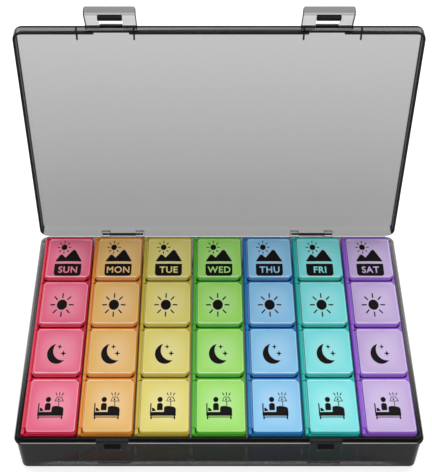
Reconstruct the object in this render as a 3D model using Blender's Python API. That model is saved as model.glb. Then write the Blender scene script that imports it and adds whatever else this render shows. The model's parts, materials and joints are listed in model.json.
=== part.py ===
# Weekly pill organizer: a smoke-grey case with a hinged lid and two flip latches, which holds
# seven day boxes side by side. Each day box has four compartments, each with its own flip lid.
# Metres, +Z up, +X to the user's right, +Y to the back. The origin is the centre of the case's
# underside. The case lid stands open at rest, and the day boxes' lids are shut.

import math

import bmesh
import bpy
from mathutils import Vector

DAYS = ("sunday", "monday", "tuesday", "wednesday", "thursday", "friday", "saturday")
ROWS = ("morning", "noon", "evening", "bedtime")  # from the back to the front

# Shared fits
REST_GAP = 0.0003  # between a piece and what it rests on, slides past or turns beside
MERGE_DEPTH = 0.0006  # how far a rib, lug or ear runs into the wall that carries it
CUT_OVERRUN = 0.002  # how far a cutter runs past the faces it opens

# Day box
BOX_LENGTH = 0.1468
BOX_WIDTH = 0.0304
BOX_HEIGHT = 0.0270
BOX_GAP = 0.0006
BOX_CORNER_RADIUS = 0.0025
BOX_DRAFT = 0.0008
BOX_FOOT_ROUND = 0.0012
BOX_RIM_ROUND = 0.0004
BOX_WALL = 0.0012
BOX_FLOOR = 0.0012
BOX_BACK_END = 0.0007  # what the box is longer by than its four rows, behind and in front of them
BOX_FRONT_END = 0.0017
SCOOP_RADIUS = 0.005

# Compartment lid
CELL_LID_EDGE = 0.0009
CELL_LID_BEVEL = 0.0009  # on the right-hand side, at the notches and at the front row's front
CELL_LID_BEVEL_RISE = 0.0012
CELL_LID_HINGE_BEVEL = 0.0006
CELL_LID_ROW_BEVEL = 0.0020  # where two rows meet
CELL_LID_BACK_BEVEL = 0.0030  # at the back row's back
CELL_LID_ROW_GAP = 0.0012
CELL_LID_BACK_REACH = 0.0006  # past the back row's own length, over the box's back end
CELL_LID_FRONT_REACH = 0.0019
CELL_LID_SIDE_MARGIN = 0.0005
CELL_LID_CORNER_RADIUS = 0.0020
FINGER_NOTCH = 0.0026
CELL_LID_WALL = 0.0014
CELL_LID_POCKET = 0.0009

# Compartment lid hinge, along the lid's left long side
BARREL_RADIUS = 0.0011
BARREL_MARGIN = 0.0002
BARREL_SEAT_DROP = 0.0009
EAR_LENGTH = 0.0042
STUB_RADIUS = 0.0005
STUB_LENGTH = 0.0012
STUB_CLEARANCE = 0.00015
STUB_END_PLAY = 0.0002

# Tray of the case
TRAY_FLOOR = 0.0016
TRAY_WALL = 0.0013
TRAY_SIDE_CLEARANCE = 0.0007
TRAY_END_CLEARANCE = 0.0005
TRAY_DRAFT = 0.0005
TRAY_FOOT_RADIUS = 0.0015
TRAY_INNER_ROUND = 0.0012
LIP_HEIGHT = 0.0016
BOX_RIM_ABOVE_LIP = 0.0007
FLANGE_REACH = 0.0018  # out from the lip
FLANGE_OVERHANG = 0.0010  # out from the wall below it
FLANGE_THICKNESS = 0.0020
CASE_CORNER_RADIUS = 0.0050
LEAST_RADIUS = 0.0004

# Lid of the case
CASE_LID_HEADROOM = 0.0013
CASE_LID_PLATE = 0.0015
CASE_LID_EDGE_ROUND = 0.0012
CASE_LID_INNER_ROUND = 0.0030
GUSSET_THICKNESS = 0.0009
GUSSET_REACH = 0.0050
GUSSET_OUTER_OFFSET = 0.0182
GUSSET_INNER_OFFSET = 0.0125
OPEN_ANGLE_DEGREES = 92.4

# Hinge between the tray and the case lid
HINGE_SPREAD = 0.0600
HINGE_RISE = 0.0021
HINGE_RADIUS = 0.0014
HINGE_KNUCKLE_WIDTH = 0.0160
HINGE_EAR_WIDTH = 0.0050
HINGE_PIN_RADIUS = 0.0006
HINGE_PIN_CLEARANCE = 0.00015
STOP_REACH = 0.0040
STOP_DEPTH = 0.0020
BRACKET_DROP = 0.0080

# Flip latches
LATCH_SPREAD = 0.0582
LATCH_WIDTH = 0.0280
LATCH_SETOUT = 0.0019
LATCH_RISE = 0.0030
LATCH_BARREL_RADIUS = 0.0016
LATCH_LUG_WIDTH = 0.0124
LATCH_LUG_ARM = 0.0020
LATCH_PLATE = 0.0015
LATCH_PLATE_OFFSET = 0.0001
HOOK_DROP = 0.0087
HOOK_HEIGHT = 0.0030
HOOK_WIDTH = 0.0132
HOOK_REACH = 0.0016
TAB_LENGTH = 0.0050
TAB_CORNER_RADIUS = 0.0030
TAB_FLARE_DEGREES = 30.0
LATCH_PIN_RADIUS = 0.0007
LATCH_PIN_CLEARANCE = 0.00015
LATCH_PIN_INSET = 0.0005
LATCH_REST_ANGLE_DEGREES = 62.6

# Pads and catches on the tray's front wall
PAD_WIDTH = 0.0185
PAD_FOOT_HEIGHT = 0.0060
PAD_NOTCH_MARGIN = 0.0004
PAD_NOTCH_CLEARANCE = 0.0006
CATCH_WIDTH = 0.0087
CATCH_REACH = 0.0017
CATCH_FACE_HEIGHT = 0.0026
CATCH_RAMP_HEIGHT = 0.0020

# Facets of the round parts
CASE_CORNER_STEPS = 4
SMALL_CORNER_STEPS = 2
FOOT_STEPS = 3
SCOOP_STEPS = 2
PIN_SIDES = 12
BARREL_SIDES = 8
SMOOTH_ANGLE_DEGREES = 32.0

# Colours as sRGB hex
SMOKE = "464546"
PIN_SMOKE = "353436"
BOX_COLOURS = {
    "sunday": "d7385d",
    "monday": "da9a55",
    "tuesday": "cebf59",
    "wednesday": "6cbf45",
    "thursday": "3f87c5",
    "friday": "30b8b1",
    "saturday": "9a69c5",
}
LID_LIGHTENING_SHARE = 0.30
INNER_ROUND_SHARE = 1 - math.sqrt(0.5)  # of a quarter round, what its middle is drawn in by
SMOKE_ROUGHNESS = 0.18
COLOUR_ROUGHNESS = 0.22

# Places worked out from the sizes above
DAY_PITCH = BOX_WIDTH + BOX_GAP
ROW_PITCH = (BOX_LENGTH - BOX_BACK_END - BOX_FRONT_END) / len(ROWS)
BOX_BOTTOM = TRAY_FLOOR + REST_GAP
RIM_HEIGHT = BOX_BOTTOM + BOX_HEIGHT
CELL_LID_BOTTOM = RIM_HEIGHT + REST_GAP
CELL_LID_TOP = CELL_LID_BOTTOM + CELL_LID_EDGE + CELL_LID_BEVEL_RISE
BARREL_SEAT = RIM_HEIGHT - BARREL_SEAT_DROP
BARREL_AXIS_IN = BARREL_MARGIN + BARREL_RADIUS
BARREL_AXIS_HEIGHT = BARREL_SEAT + REST_GAP + BARREL_RADIUS
BARREL_LENGTH = ROW_PITCH - EAR_LENGTH - 2 * REST_GAP
CELL_LID_LEFT = BARREL_AXIS_IN + BARREL_RADIUS + REST_GAP

TRAY_INNER_X = (len(DAYS) * DAY_PITCH - BOX_GAP) / 2 + TRAY_SIDE_CLEARANCE
TRAY_INNER_Y = BOX_LENGTH / 2 + TRAY_END_CLEARANCE
CASE_X = TRAY_INNER_X + TRAY_WALL + FLANGE_REACH
CASE_Y = TRAY_INNER_Y + TRAY_WALL + FLANGE_REACH
LIP_TOP = RIM_HEIGHT - BOX_RIM_ABOVE_LIP
FLANGE_TOP = LIP_TOP - LIP_HEIGHT

SKIRT = FLANGE_REACH - REST_GAP
SKIRT_EDGE = FLANGE_TOP + REST_GAP
PLATE_UNDERSIDE = CELL_LID_TOP + CASE_LID_HEADROOM
CASE_LID_TOP = PLATE_UNDERSIDE + CASE_LID_PLATE
HINGE_AXIS = Vector((0, CASE_Y, FLANGE_TOP + HINGE_RISE))
LATCH_AXIS = Vector((0, -CASE_Y - LATCH_SETOUT, FLANGE_TOP + LATCH_RISE))
BEND_DROP = HOOK_DROP + HOOK_HEIGHT
CATCH_UNDERSIDE = LATCH_AXIS.z - HOOK_DROP + REST_GAP


# Meshes


def round_corner(corner, turn, radius, steps):
    # A quarter arc inside a square corner; turn is 0 for the corner at +X +Y, then counter-clockwise
    start = turn * math.pi / 2
    inwards = Vector((-math.copysign(radius, corner[0]), -math.copysign(radius, corner[1])))
    centre = Vector(corner) + inwards
    angles = [start + step / steps * math.pi / 2 for step in range(steps + 1)]
    return [centre + radius * Vector((math.cos(a), math.sin(a))) for a in angles]


def rounded_rectangle(half_x, half_y, radius, steps):
    # Counter-clockwise plan outline
    corners = ((half_x, half_y), (-half_x, half_y), (-half_x, -half_y), (half_x, -half_y))
    points = []
    for turn, corner in enumerate(corners):
        points += round_corner(corner, turn, radius, steps)
    return points


def ring(outline, height):
    return [Vector((point.x, point.y, height)) for point in outline]


def case_ring(inset, height):
    radius = max(CASE_CORNER_RADIUS - inset, LEAST_RADIUS)
    return ring(rounded_rectangle(CASE_X - inset, CASE_Y - inset, radius, CASE_CORNER_STEPS), height)


def box_ring(inset, height):
    radius = max(BOX_CORNER_RADIUS - inset, LEAST_RADIUS)
    half_x = BOX_WIDTH / 2 - inset
    half_y = BOX_LENGTH / 2 - inset
    return ring(rounded_rectangle(half_x, half_y, radius, SMALL_CORNER_STEPS), height)


def lofted(rings):
    # A closed body through rings of equal counts, capped at both ends
    body = bmesh.new()
    loops = [[body.verts.new(point) for point in points] for points in rings]
    for lower, upper in zip(loops, loops[1:]):
        for i in range(len(lower)):
            j = (i + 1) % len(lower)
            body.faces.new((lower[i], lower[j], upper[j], upper[i]))
    body.faces.new(reversed(loops[0]))
    body.faces.new(loops[-1])
    bmesh.ops.recalc_face_normals(body, faces=body.faces)
    return body


def block(low, high):
    corners = [(low[0], low[1]), (high[0], low[1]), (high[0], high[1]), (low[0], high[1])]
    outline = [Vector(corner) for corner in corners]
    return lofted([ring(outline, low[2]), ring(outline, high[2])])


def along_x(profile, low_x, high_x):
    # A profile of (y, z) points carried along X
    return lofted([[Vector((x, y, z)) for y, z in profile] for x in (low_x, high_x)])


def along_y(profile, low_y, high_y):
    # A profile of (x, z) points carried along Y
    return lofted([[Vector((x, y, z)) for x, z in profile] for y in (low_y, high_y)])


def arc(centre, radius, first, last, steps):
    # Points from one angle to another, in degrees
    angles = [math.radians(first + (last - first) * step / steps) for step in range(steps + 1)]
    return [(centre[0] + radius * math.cos(a), centre[1] + radius * math.sin(a)) for a in angles]


def circle(centre, radius, sides):
    return arc(centre, radius, 0, 360, sides)[:-1]


# Objects


def named(name, body):
    mesh = bpy.data.meshes.new(name)
    body.to_mesh(mesh)
    body.free()
    thing = bpy.data.objects.new(name, mesh)
    bpy.context.scene.collection.objects.link(thing)
    return thing


def combine(thing, operation, bodies):
    # Unions, cuts or intersects each body with the object in turn, and keeps the result as its mesh
    tools = []
    for body in bodies:
        tool = named(thing.name + "_tool", body)
        tool.hide_render = True
        tool.display_type = "WIRE"
        modifier = thing.modifiers.new("shape", "BOOLEAN")
        modifier.operation = operation
        modifier.solver = "EXACT"
        modifier.object = tool
        tools.append(tool)
    bpy.context.view_layer.update()
    evaluated = thing.evaluated_get(bpy.context.evaluated_depsgraph_get())
    shaped = bpy.data.meshes.new_from_object(evaluated)
    thing.modifiers.clear()
    before = thing.data
    thing.data = shaped
    bpy.data.meshes.remove(before)
    for tool in tools:
        mesh = tool.data
        bpy.data.objects.remove(tool)
        bpy.data.meshes.remove(mesh)


def finish_mesh(thing, origin):
    # Moves the mesh so that the object's own origin is at the given place
    for vertex in thing.data.vertices:
        vertex.co -= origin
    thing.data.shade_smooth()
    thing.data.set_sharp_from_angle(angle=math.radians(SMOOTH_ANGLE_DEGREES))
    return thing.data


def node(name, mesh, location, parent=None, tilt_degrees=0):
    thing = bpy.data.objects.new(name, mesh)
    bpy.context.scene.collection.objects.link(thing)
    thing.parent = parent
    thing.location = location
    thing.rotation_euler.x = -math.radians(tilt_degrees)
    return thing


def linear(colour_hex):
    # Linear red, green and blue of an sRGB hex colour
    parts = [part / 255 for part in bytes.fromhex(colour_hex)]
    return tuple(part / 12.92 if part < 0.04045 else ((part + 0.055) / 1.055) ** 2.4 for part in parts)


def paint(thing, colour, roughness):
    material = bpy.data.materials.new(thing.name)
    material.use_nodes = True
    shader = material.node_tree.nodes["Principled BSDF"]
    shader.inputs["Base Color"].default_value = (*colour, 1)
    shader.inputs["Roughness"].default_value = roughness
    shader.inputs["Metallic"].default_value = 0
    if not thing.data.materials:
        thing.data.materials.append(None)
    thing.material_slots[0].link = "OBJECT"
    thing.material_slots[0].material = material


def trimmed(body, operation, tool):
    # What one body leaves of another, as a body again
    thing = named("trim", body)
    combine(thing, operation, [tool])
    result = bmesh.new()
    result.from_mesh(thing.data)
    mesh = thing.data
    bpy.data.objects.remove(thing)
    bpy.data.meshes.remove(mesh)
    return result


def shaped_mesh(name, body, unions=(), cuts=(), clip=None, origin=Vector((0, 0, 0))):
    # Builds one mesh from a body, what joins it, what clips it and what is cut from it
    thing = named(name, body)
    if unions:
        combine(thing, "UNION", unions)
    if clip:
        combine(thing, "INTERSECT", [clip])
    if cuts:
        combine(thing, "DIFFERENCE", cuts)
    mesh = finish_mesh(thing, origin)
    bpy.data.objects.remove(thing)
    return mesh


# Tray of the case


def tray_shell():
    foot = FLANGE_OVERHANG + TRAY_DRAFT
    inner = FLANGE_REACH + TRAY_WALL
    floor_edge = inner + TRAY_DRAFT
    rings = []
    for step in range(FOOT_STEPS + 1):
        angle = step / FOOT_STEPS * math.pi / 2
        inset = foot + TRAY_FOOT_RADIUS * (1 - math.sin(angle))
        rings.append(case_ring(inset, TRAY_FOOT_RADIUS * (1 - math.cos(angle))))
    rings.append(case_ring(FLANGE_OVERHANG, FLANGE_TOP - FLANGE_THICKNESS))
    rings.append(case_ring(0, FLANGE_TOP - FLANGE_THICKNESS))
    rings.append(case_ring(0, FLANGE_TOP))
    rings.append(case_ring(FLANGE_REACH, FLANGE_TOP))
    rings.append(case_ring(FLANGE_REACH, LIP_TOP))
    rings.append(case_ring(inner, LIP_TOP))
    rings.append(case_ring(floor_edge, TRAY_FLOOR + TRAY_INNER_ROUND))
    rings.append(case_ring(floor_edge + TRAY_INNER_ROUND, TRAY_FLOOR))
    return lofted(rings)


def rear_lip():
    # The lip leaves off along the rear side, where the case lid's skirt swings in over the flange
    half_x = CASE_X + CUT_OVERRUN
    low = (-half_x, CASE_Y - CASE_CORNER_RADIUS, FLANGE_TOP)
    return block(low, (half_x, CASE_Y + CUT_OVERRUN, LIP_TOP + CUT_OVERRUN))


def latch_pad(x):
    low = (x - PAD_WIDTH / 2, -CASE_Y, PAD_FOOT_HEIGHT)
    high = (x + PAD_WIDTH / 2, -CASE_Y + FLANGE_REACH + MERGE_DEPTH, LIP_TOP)
    return block(low, high)


def latch_catch(x):
    # A wedge with a sloped top, which the hook rides over, and a flat underside, which it holds under
    face = -CASE_Y - CATCH_REACH
    root = -CASE_Y + MERGE_DEPTH
    top = CATCH_UNDERSIDE + CATCH_FACE_HEIGHT + CATCH_RAMP_HEIGHT
    profile = [
        (root, CATCH_UNDERSIDE),
        (root, top),
        (-CASE_Y, top),
        (face, CATCH_UNDERSIDE + CATCH_FACE_HEIGHT),
        (face, CATCH_UNDERSIDE),
    ]
    return along_x(profile, x - CATCH_WIDTH / 2, x + CATCH_WIDTH / 2)


def stop_point(along):
    # A point just under the open lid's rear skirt, whose outer face lies in line with the hinge axis
    angle = math.radians(OPEN_ANGLE_DEGREES)
    y = REST_GAP * math.cos(angle) + along * math.sin(angle)
    z = along * math.cos(angle) - REST_GAP * math.sin(angle)
    return (HINGE_AXIS.y + y, HINGE_AXIS.z + z)


def hinge_ear(low_x):
    # A bracket on the tray's rear flange: round about the pin, with a shoulder behind as the lid's stop
    axis = (HINGE_AXIS.y, HINGE_AXIS.z)
    root = CASE_Y - FLANGE_OVERHANG - MERGE_DEPTH
    neck = FLANGE_TOP - FLANGE_THICKNESS / 2
    shoulder = stop_point(STOP_REACH)
    foot = HINGE_AXIS.z - BRACKET_DROP
    profile = [
        (root, foot),
        (root, neck),
        (axis[0] - HINGE_RADIUS, neck),
        *arc(axis, HINGE_RADIUS, 180, 0, PIN_SIDES // 2),
        stop_point(HINGE_RADIUS),
        shoulder,
        (shoulder[0], shoulder[1] - STOP_DEPTH),
        (CASE_Y - FLANGE_OVERHANG, foot),
    ]
    return along_x(profile, low_x, low_x + HINGE_EAR_WIDTH)


def hinge_bore(x, radius, half_length):
    bore = circle((HINGE_AXIS.y, HINGE_AXIS.z), radius, PIN_SIDES)
    return along_x(bore, x - half_length, x + half_length)


def hinge_half_width():
    return HINGE_KNUCKLE_WIDTH / 2 + REST_GAP + HINGE_EAR_WIDTH


def make_tray():
    unions = []
    cuts = []
    for side in (-1, 1):
        unions.append(latch_pad(side * LATCH_SPREAD))
        unions.append(latch_catch(side * LATCH_SPREAD))
        middle = side * HINGE_SPREAD
        unions.append(hinge_ear(middle - hinge_half_width()))
        unions.append(hinge_ear(middle + HINGE_KNUCKLE_WIDTH / 2 + REST_GAP))
        radius = HINGE_PIN_RADIUS + HINGE_PIN_CLEARANCE
        cuts.append(hinge_bore(middle, radius, hinge_half_width() + CUT_OVERRUN))
    shell = trimmed(tray_shell(), "DIFFERENCE", rear_lip())
    mesh = shaped_mesh("case_base", shell, unions, cuts)
    tray = node("case_base", mesh, (0, 0, 0))
    paint(tray, linear(SMOKE), SMOKE_ROUGHNESS)


# Lid of the case, modelled shut and then swung open


def case_lid_shell():
    round_foot = PLATE_UNDERSIDE - CASE_LID_INNER_ROUND
    drawn_in = CASE_LID_INNER_ROUND * INNER_ROUND_SHARE
    return lofted(
        [
            case_ring(CASE_LID_EDGE_ROUND, CASE_LID_TOP),
            case_ring(0, CASE_LID_TOP - CASE_LID_EDGE_ROUND),
            case_ring(0, SKIRT_EDGE),
            case_ring(SKIRT, SKIRT_EDGE),
            case_ring(SKIRT, round_foot),
            case_ring(SKIRT + drawn_in, PLATE_UNDERSIDE - drawn_in),
            case_ring(SKIRT + CASE_LID_INNER_ROUND, PLATE_UNDERSIDE),
        ]
    )


def hinge_knuckle(x):
    # A barrel about the pin, which the foot of the rear skirt runs into
    barrel = circle((HINGE_AXIS.y, HINGE_AXIS.z), HINGE_RADIUS, PIN_SIDES)
    return along_x(barrel, x - HINGE_KNUCKLE_WIDTH / 2, x + HINGE_KNUCKLE_WIDTH / 2)


def ear_notch(x):
    # Room for one of the tray's ears beside the knuckle
    low = (x, CASE_Y - SKIRT - CUT_OVERRUN, SKIRT_EDGE - CUT_OVERRUN)
    high_x = x + HINGE_EAR_WIDTH + 2 * REST_GAP
    return block(low, (high_x, CASE_Y + HINGE_RADIUS + CUT_OVERRUN, HINGE_AXIS.z + HINGE_RADIUS + REST_GAP))


def latch_lug(x):
    # The middle of the latch's hinge, on a short arm from the front skirt
    axis = (LATCH_AXIS.y, LATCH_AXIS.z)
    root = -CASE_Y + SKIRT / 2
    top = axis[1] + LATCH_BARREL_RADIUS
    profile = [
        (root, top),
        *arc(axis, LATCH_BARREL_RADIUS, 90, 330, 2 * PIN_SIDES // 3),
        (-CASE_Y, top - LATCH_LUG_ARM),
        (root, top - LATCH_LUG_ARM),
    ]
    return along_x(profile, x - LATCH_LUG_WIDTH / 2, x + LATCH_LUG_WIDTH / 2)


def skirt_gusset(x):
    front = -CASE_Y + SKIRT / 2
    top = PLATE_UNDERSIDE + CASE_LID_PLATE / 2
    profile = [(front, top), (front, top - GUSSET_REACH), (front + GUSSET_REACH, top)]
    return along_x(profile, x - GUSSET_THICKNESS / 2, x + GUSSET_THICKNESS / 2)


def pad_notch(x):
    half = PAD_WIDTH / 2 + PAD_NOTCH_MARGIN
    low = (x - half, -CASE_Y - CUT_OVERRUN, SKIRT_EDGE - CUT_OVERRUN)
    high = (x + half, -CASE_Y + SKIRT + CUT_OVERRUN, LIP_TOP + PAD_NOTCH_CLEARANCE)
    return block(low, high)


def latch_bore(x):
    radius = LATCH_PIN_RADIUS + LATCH_PIN_CLEARANCE
    bore = circle((LATCH_AXIS.y, LATCH_AXIS.z), radius, BARREL_SIDES)
    half = LATCH_WIDTH / 2 + CUT_OVERRUN
    return along_x(bore, x - half, x + half)


def make_case_lid():
    unions = []
    cuts = []
    for side in (-1, 1):
        radius = HINGE_PIN_RADIUS + HINGE_PIN_CLEARANCE
        middle = side * LATCH_SPREAD
        unions.append(hinge_knuckle(side * HINGE_SPREAD))
        unions.append(latch_lug(middle))
        unions.append(skirt_gusset(middle - side * GUSSET_INNER_OFFSET))
        unions.append(skirt_gusset(middle + side * GUSSET_OUTER_OFFSET))
        cuts.append(pad_notch(middle))
        cuts.append(latch_bore(middle))
        half = HINGE_KNUCKLE_WIDTH / 2 + CUT_OVERRUN
        cuts.append(hinge_bore(side * HINGE_SPREAD, radius, half))
        cuts.append(ear_notch(side * HINGE_SPREAD + HINGE_KNUCKLE_WIDTH / 2))
        cuts.append(ear_notch(side * HINGE_SPREAD - hinge_half_width() - REST_GAP))
    mesh = shaped_mesh("case_lid", case_lid_shell(), unions, cuts, origin=HINGE_AXIS)
    lid = node("case_lid", mesh, HINGE_AXIS, tilt_degrees=OPEN_ANGLE_DEGREES)
    paint(lid, linear(SMOKE), SMOKE_ROUGHNESS)
    return lid


# Latches, modelled shut


def latch_profile():
    # Barrel, flat plate on its outer side and flared finger tab, as (y, z) about the pin
    flare = math.radians(TAB_FLARE_DEGREES)
    inner = -LATCH_PLATE_OFFSET
    outer = inner - LATCH_PLATE
    down = Vector((-math.sin(flare), -math.cos(flare)))
    across = Vector((-math.cos(flare), math.sin(flare)))
    bend = Vector((inner, -BEND_DROP))
    tip = bend + TAB_LENGTH * down
    outer_tip = tip + LATCH_PLATE * across
    outer_bend = outer_tip - (outer_tip.x - outer) / down.x * down
    barrel = arc((0, 0), LATCH_BARREL_RADIUS, 180, -90, 3 * PIN_SIDES // 4)
    return [*barrel, (inner, -LATCH_BARREL_RADIUS), bend, tip, outer_tip, outer_bend, (outer, 0)]


def latch_outline():
    # The front view, with the tab's corners rounded, carried through from front to back
    low_z = -BEND_DROP - TAB_LENGTH * math.cos(math.radians(TAB_FLARE_DEGREES))
    high_z = LATCH_BARREL_RADIUS + CUT_OVERRUN
    half = LATCH_WIDTH / 2
    radius = TAB_CORNER_RADIUS
    profile = [
        (half, high_z),
        (-half, high_z),
        *arc((-half + radius, low_z + radius), radius, 180, 270, CASE_CORNER_STEPS),
        *arc((half - radius, low_z + radius), radius, 270, 360, CASE_CORNER_STEPS),
    ]
    reach = LATCH_BARREL_RADIUS + LATCH_PLATE + TAB_LENGTH
    return along_y(profile, -reach, reach)


def make_latch_mesh():
    half = LATCH_WIDTH / 2
    hook = block(
        (-HOOK_WIDTH / 2, -LATCH_PLATE_OFFSET - LATCH_PLATE / 2, -BEND_DROP),
        (HOOK_WIDTH / 2, HOOK_REACH - LATCH_PLATE_OFFSET, -HOOK_DROP),
    )
    window_half = LATCH_LUG_WIDTH / 2 + REST_GAP
    reach = LATCH_BARREL_RADIUS + LATCH_PLATE
    window = block((-window_half, -reach, -HOOK_DROP), (window_half, reach, reach))
    bore = circle((0, 0), LATCH_PIN_RADIUS + LATCH_PIN_CLEARANCE, BARREL_SIDES)
    cuts = [window, along_x(bore, -half - CUT_OVERRUN, half + CUT_OVERRUN)]
    body = along_x(latch_profile(), -half, half)
    return shaped_mesh("latch", body, [hook], cuts, latch_outline())


def make_latches(case_lid):
    latch = make_latch_mesh()
    pin_half = LATCH_WIDTH / 2 - LATCH_PIN_INSET
    profile = circle((0, 0), LATCH_PIN_RADIUS, BARREL_SIDES)
    pin = shaped_mesh("latch_pin", along_x(profile, -pin_half, pin_half))
    for side, name in ((-1, "left"), (1, "right")):
        place = Vector((side * LATCH_SPREAD, 0, 0)) + LATCH_AXIS - HINGE_AXIS
        flap = node("latch_" + name, latch, place, case_lid, LATCH_REST_ANGLE_DEGREES)
        paint(flap, linear(SMOKE), SMOKE_ROUGHNESS)
        rod = node("latch_pin_" + name, pin, place, case_lid)
        paint(rod, linear(PIN_SMOKE), SMOKE_ROUGHNESS)


def make_hinge_pins():
    half = hinge_half_width() - REST_GAP
    profile = circle((0, 0), HINGE_PIN_RADIUS, PIN_SIDES)
    pin = shaped_mesh("hinge_pin", along_x(profile, -half, half))
    for side, name in ((-1, "left"), (1, "right")):
        rod = node("hinge_pin_" + name, pin, HINGE_AXIS + Vector((side * HINGE_SPREAD, 0, 0)))
        paint(rod, linear(PIN_SMOKE), SMOKE_ROUGHNESS)


# Day box, about the middle of its underside


def row_centre(row):
    return BOX_LENGTH / 2 - BOX_BACK_END - (row + 0.5) * ROW_PITCH


def box_shell():
    foot = BOX_DRAFT + BOX_FOOT_ROUND
    return lofted(
        [
            box_ring(foot, 0),
            box_ring(BOX_DRAFT, BOX_FOOT_ROUND),
            box_ring(0, BOX_HEIGHT - BOX_RIM_ROUND),
            box_ring(BOX_RIM_ROUND, BOX_HEIGHT),
        ]
    )


def compartment(row):
    # Straight walls and a floor that rounds up into the long sides, so that a finger can scoop
    low_y = row_centre(row) - ROW_PITCH / 2 + BOX_WALL / 2
    high_y = row_centre(row) + ROW_PITCH / 2 - BOX_WALL / 2
    end_y = BOX_LENGTH / 2 - BOX_WALL - BOX_DRAFT / 2
    if row == 0:
        high_y = end_y
    if row == len(ROWS) - 1:
        low_y = -end_y
    half = BOX_WIDTH / 2 - BOX_WALL
    foot_half = half - BOX_DRAFT
    centre_z = BOX_FLOOR + SCOOP_RADIUS
    profile = [
        *arc((-foot_half + SCOOP_RADIUS, centre_z), SCOOP_RADIUS, 180, 270, SCOOP_STEPS),
        *arc((foot_half - SCOOP_RADIUS, centre_z), SCOOP_RADIUS, 270, 360, SCOOP_STEPS),
        (half, BOX_HEIGHT),
        (half, BOX_HEIGHT + CUT_OVERRUN),
        (-half, BOX_HEIGHT + CUT_OVERRUN),
        (-half, BOX_HEIGHT),
    ]
    return along_y(profile, low_y, high_y)


def barrel_axis():
    # Where the lids turn, seen from the front of a day box
    return (-BOX_WIDTH / 2 + BARREL_AXIS_IN, BARREL_AXIS_HEIGHT - BOX_BOTTOM)


def barrel_ear(middle_y):
    # A round-topped block over each cross wall, which holds the stub pins of the lids beside it
    axis = barrel_axis()
    foot = BOX_HEIGHT - BARREL_SEAT_DROP - MERGE_DEPTH
    profile = [
        (axis[0] - BARREL_RADIUS, foot),
        (axis[0] + BARREL_RADIUS, foot),
        *arc(axis, BARREL_RADIUS, 0, 180, BARREL_SIDES // 2),
    ]
    return along_y(profile, middle_y - EAR_LENGTH / 2, middle_y + EAR_LENGTH / 2)


def barrel_seat(row):
    # The left wall's rim stands lower where a lid's barrel turns over it
    half = BARREL_LENGTH / 2 + REST_GAP
    low = (-BOX_WIDTH / 2 - CUT_OVERRUN, row_centre(row) - half, BOX_HEIGHT - BARREL_SEAT_DROP)
    right = barrel_axis()[0] + BARREL_RADIUS + REST_GAP
    return block(low, (right, row_centre(row) + half, BOX_HEIGHT + CUT_OVERRUN))


def stub_bore(row):
    half = BARREL_LENGTH / 2 + STUB_LENGTH + STUB_END_PLAY
    bore = circle(barrel_axis(), STUB_RADIUS + STUB_CLEARANCE, BARREL_SIDES)
    return along_y(bore, row_centre(row) - half, row_centre(row) + half)


def make_day_box_mesh():
    top = BOX_HEIGHT + BARREL_RADIUS + CUT_OVERRUN
    ears = []
    for cross in range(len(ROWS) + 1):
        outline = lofted([box_ring(BARREL_MARGIN, 0), box_ring(BARREL_MARGIN, top)])
        ears.append(trimmed(barrel_ear(row_centre(cross) + ROW_PITCH / 2), "INTERSECT", outline))
    cuts = [compartment(row) for row in range(len(ROWS))]
    cuts += [barrel_seat(row) for row in range(len(ROWS))]
    cuts += [stub_bore(row) for row in range(len(ROWS))]
    return shaped_mesh("day_box", box_shell(), ears, cuts)


# Compartment lid, about its hinge axis at the middle of its length


def notched_corner(corner, turn, leg):
    # A corner cut off at 45 degrees; turn is 0 for +X +Y, then counter-clockwise
    along_y_side = Vector((corner[0], corner[1] - math.copysign(leg, corner[1])))
    along_x_side = Vector((corner[0] - math.copysign(leg, corner[0]), corner[1]))
    if turn % 2:
        return [along_x_side, along_y_side]
    return [along_y_side, along_x_side]


def cell_lid_ends(row):
    # How far the cap reaches behind and in front of the middle of its row
    reach = (ROW_PITCH - CELL_LID_ROW_GAP) / 2
    back = reach + (CELL_LID_BACK_REACH if row == 0 else 0)
    front = reach + (CELL_LID_FRONT_REACH if row == len(ROWS) - 1 else 0)
    return back, front


def cell_lid_bevels(row):
    # How far the face is drawn in from the cap's outline, behind and in front
    back = CELL_LID_BACK_BEVEL if row == 0 else CELL_LID_ROW_BEVEL
    front = CELL_LID_BEVEL if row == len(ROWS) - 1 else CELL_LID_ROW_BEVEL
    return back, front


def cell_lid_outline(row, bevelled):
    # The plan of the cap, or of its face; a finger notch cuts each right-hand corner that meets another row
    back, front = cell_lid_ends(row)
    left = CELL_LID_LEFT - BARREL_AXIS_IN
    right = BOX_WIDTH - CELL_LID_SIDE_MARGIN - BARREL_AXIS_IN
    radius = CELL_LID_CORNER_RADIUS
    legs = [FINGER_NOTCH, FINGER_NOTCH]
    if bevelled:
        back_bevel, front_bevel = cell_lid_bevels(row)
        back -= back_bevel
        front -= front_bevel
        left += CELL_LID_HINGE_BEVEL
        right -= CELL_LID_BEVEL
        radius = max(radius - CELL_LID_BEVEL, LEAST_RADIUS)
        across = CELL_LID_BEVEL * math.sqrt(2) - CELL_LID_BEVEL
        legs = [FINGER_NOTCH + across - back_bevel, FINGER_NOTCH + across - front_bevel]
    middle = Vector(((left + right) / 2, (back - front) / 2))
    half_x = (right - left) / 2
    half_y = (back + front) / 2
    corners = ((half_x, half_y), (-half_x, half_y), (-half_x, -half_y), (half_x, -half_y))
    notches = (row > 0 and legs[0], 0, 0, row < len(ROWS) - 1 and legs[1])
    points = []
    for turn, (corner, leg) in enumerate(zip(corners, notches)):
        if leg:
            points += notched_corner(corner, turn, leg)
        else:
            points += round_corner(corner, turn, radius, SMALL_CORNER_STEPS)
    return [middle + point for point in points]


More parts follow.
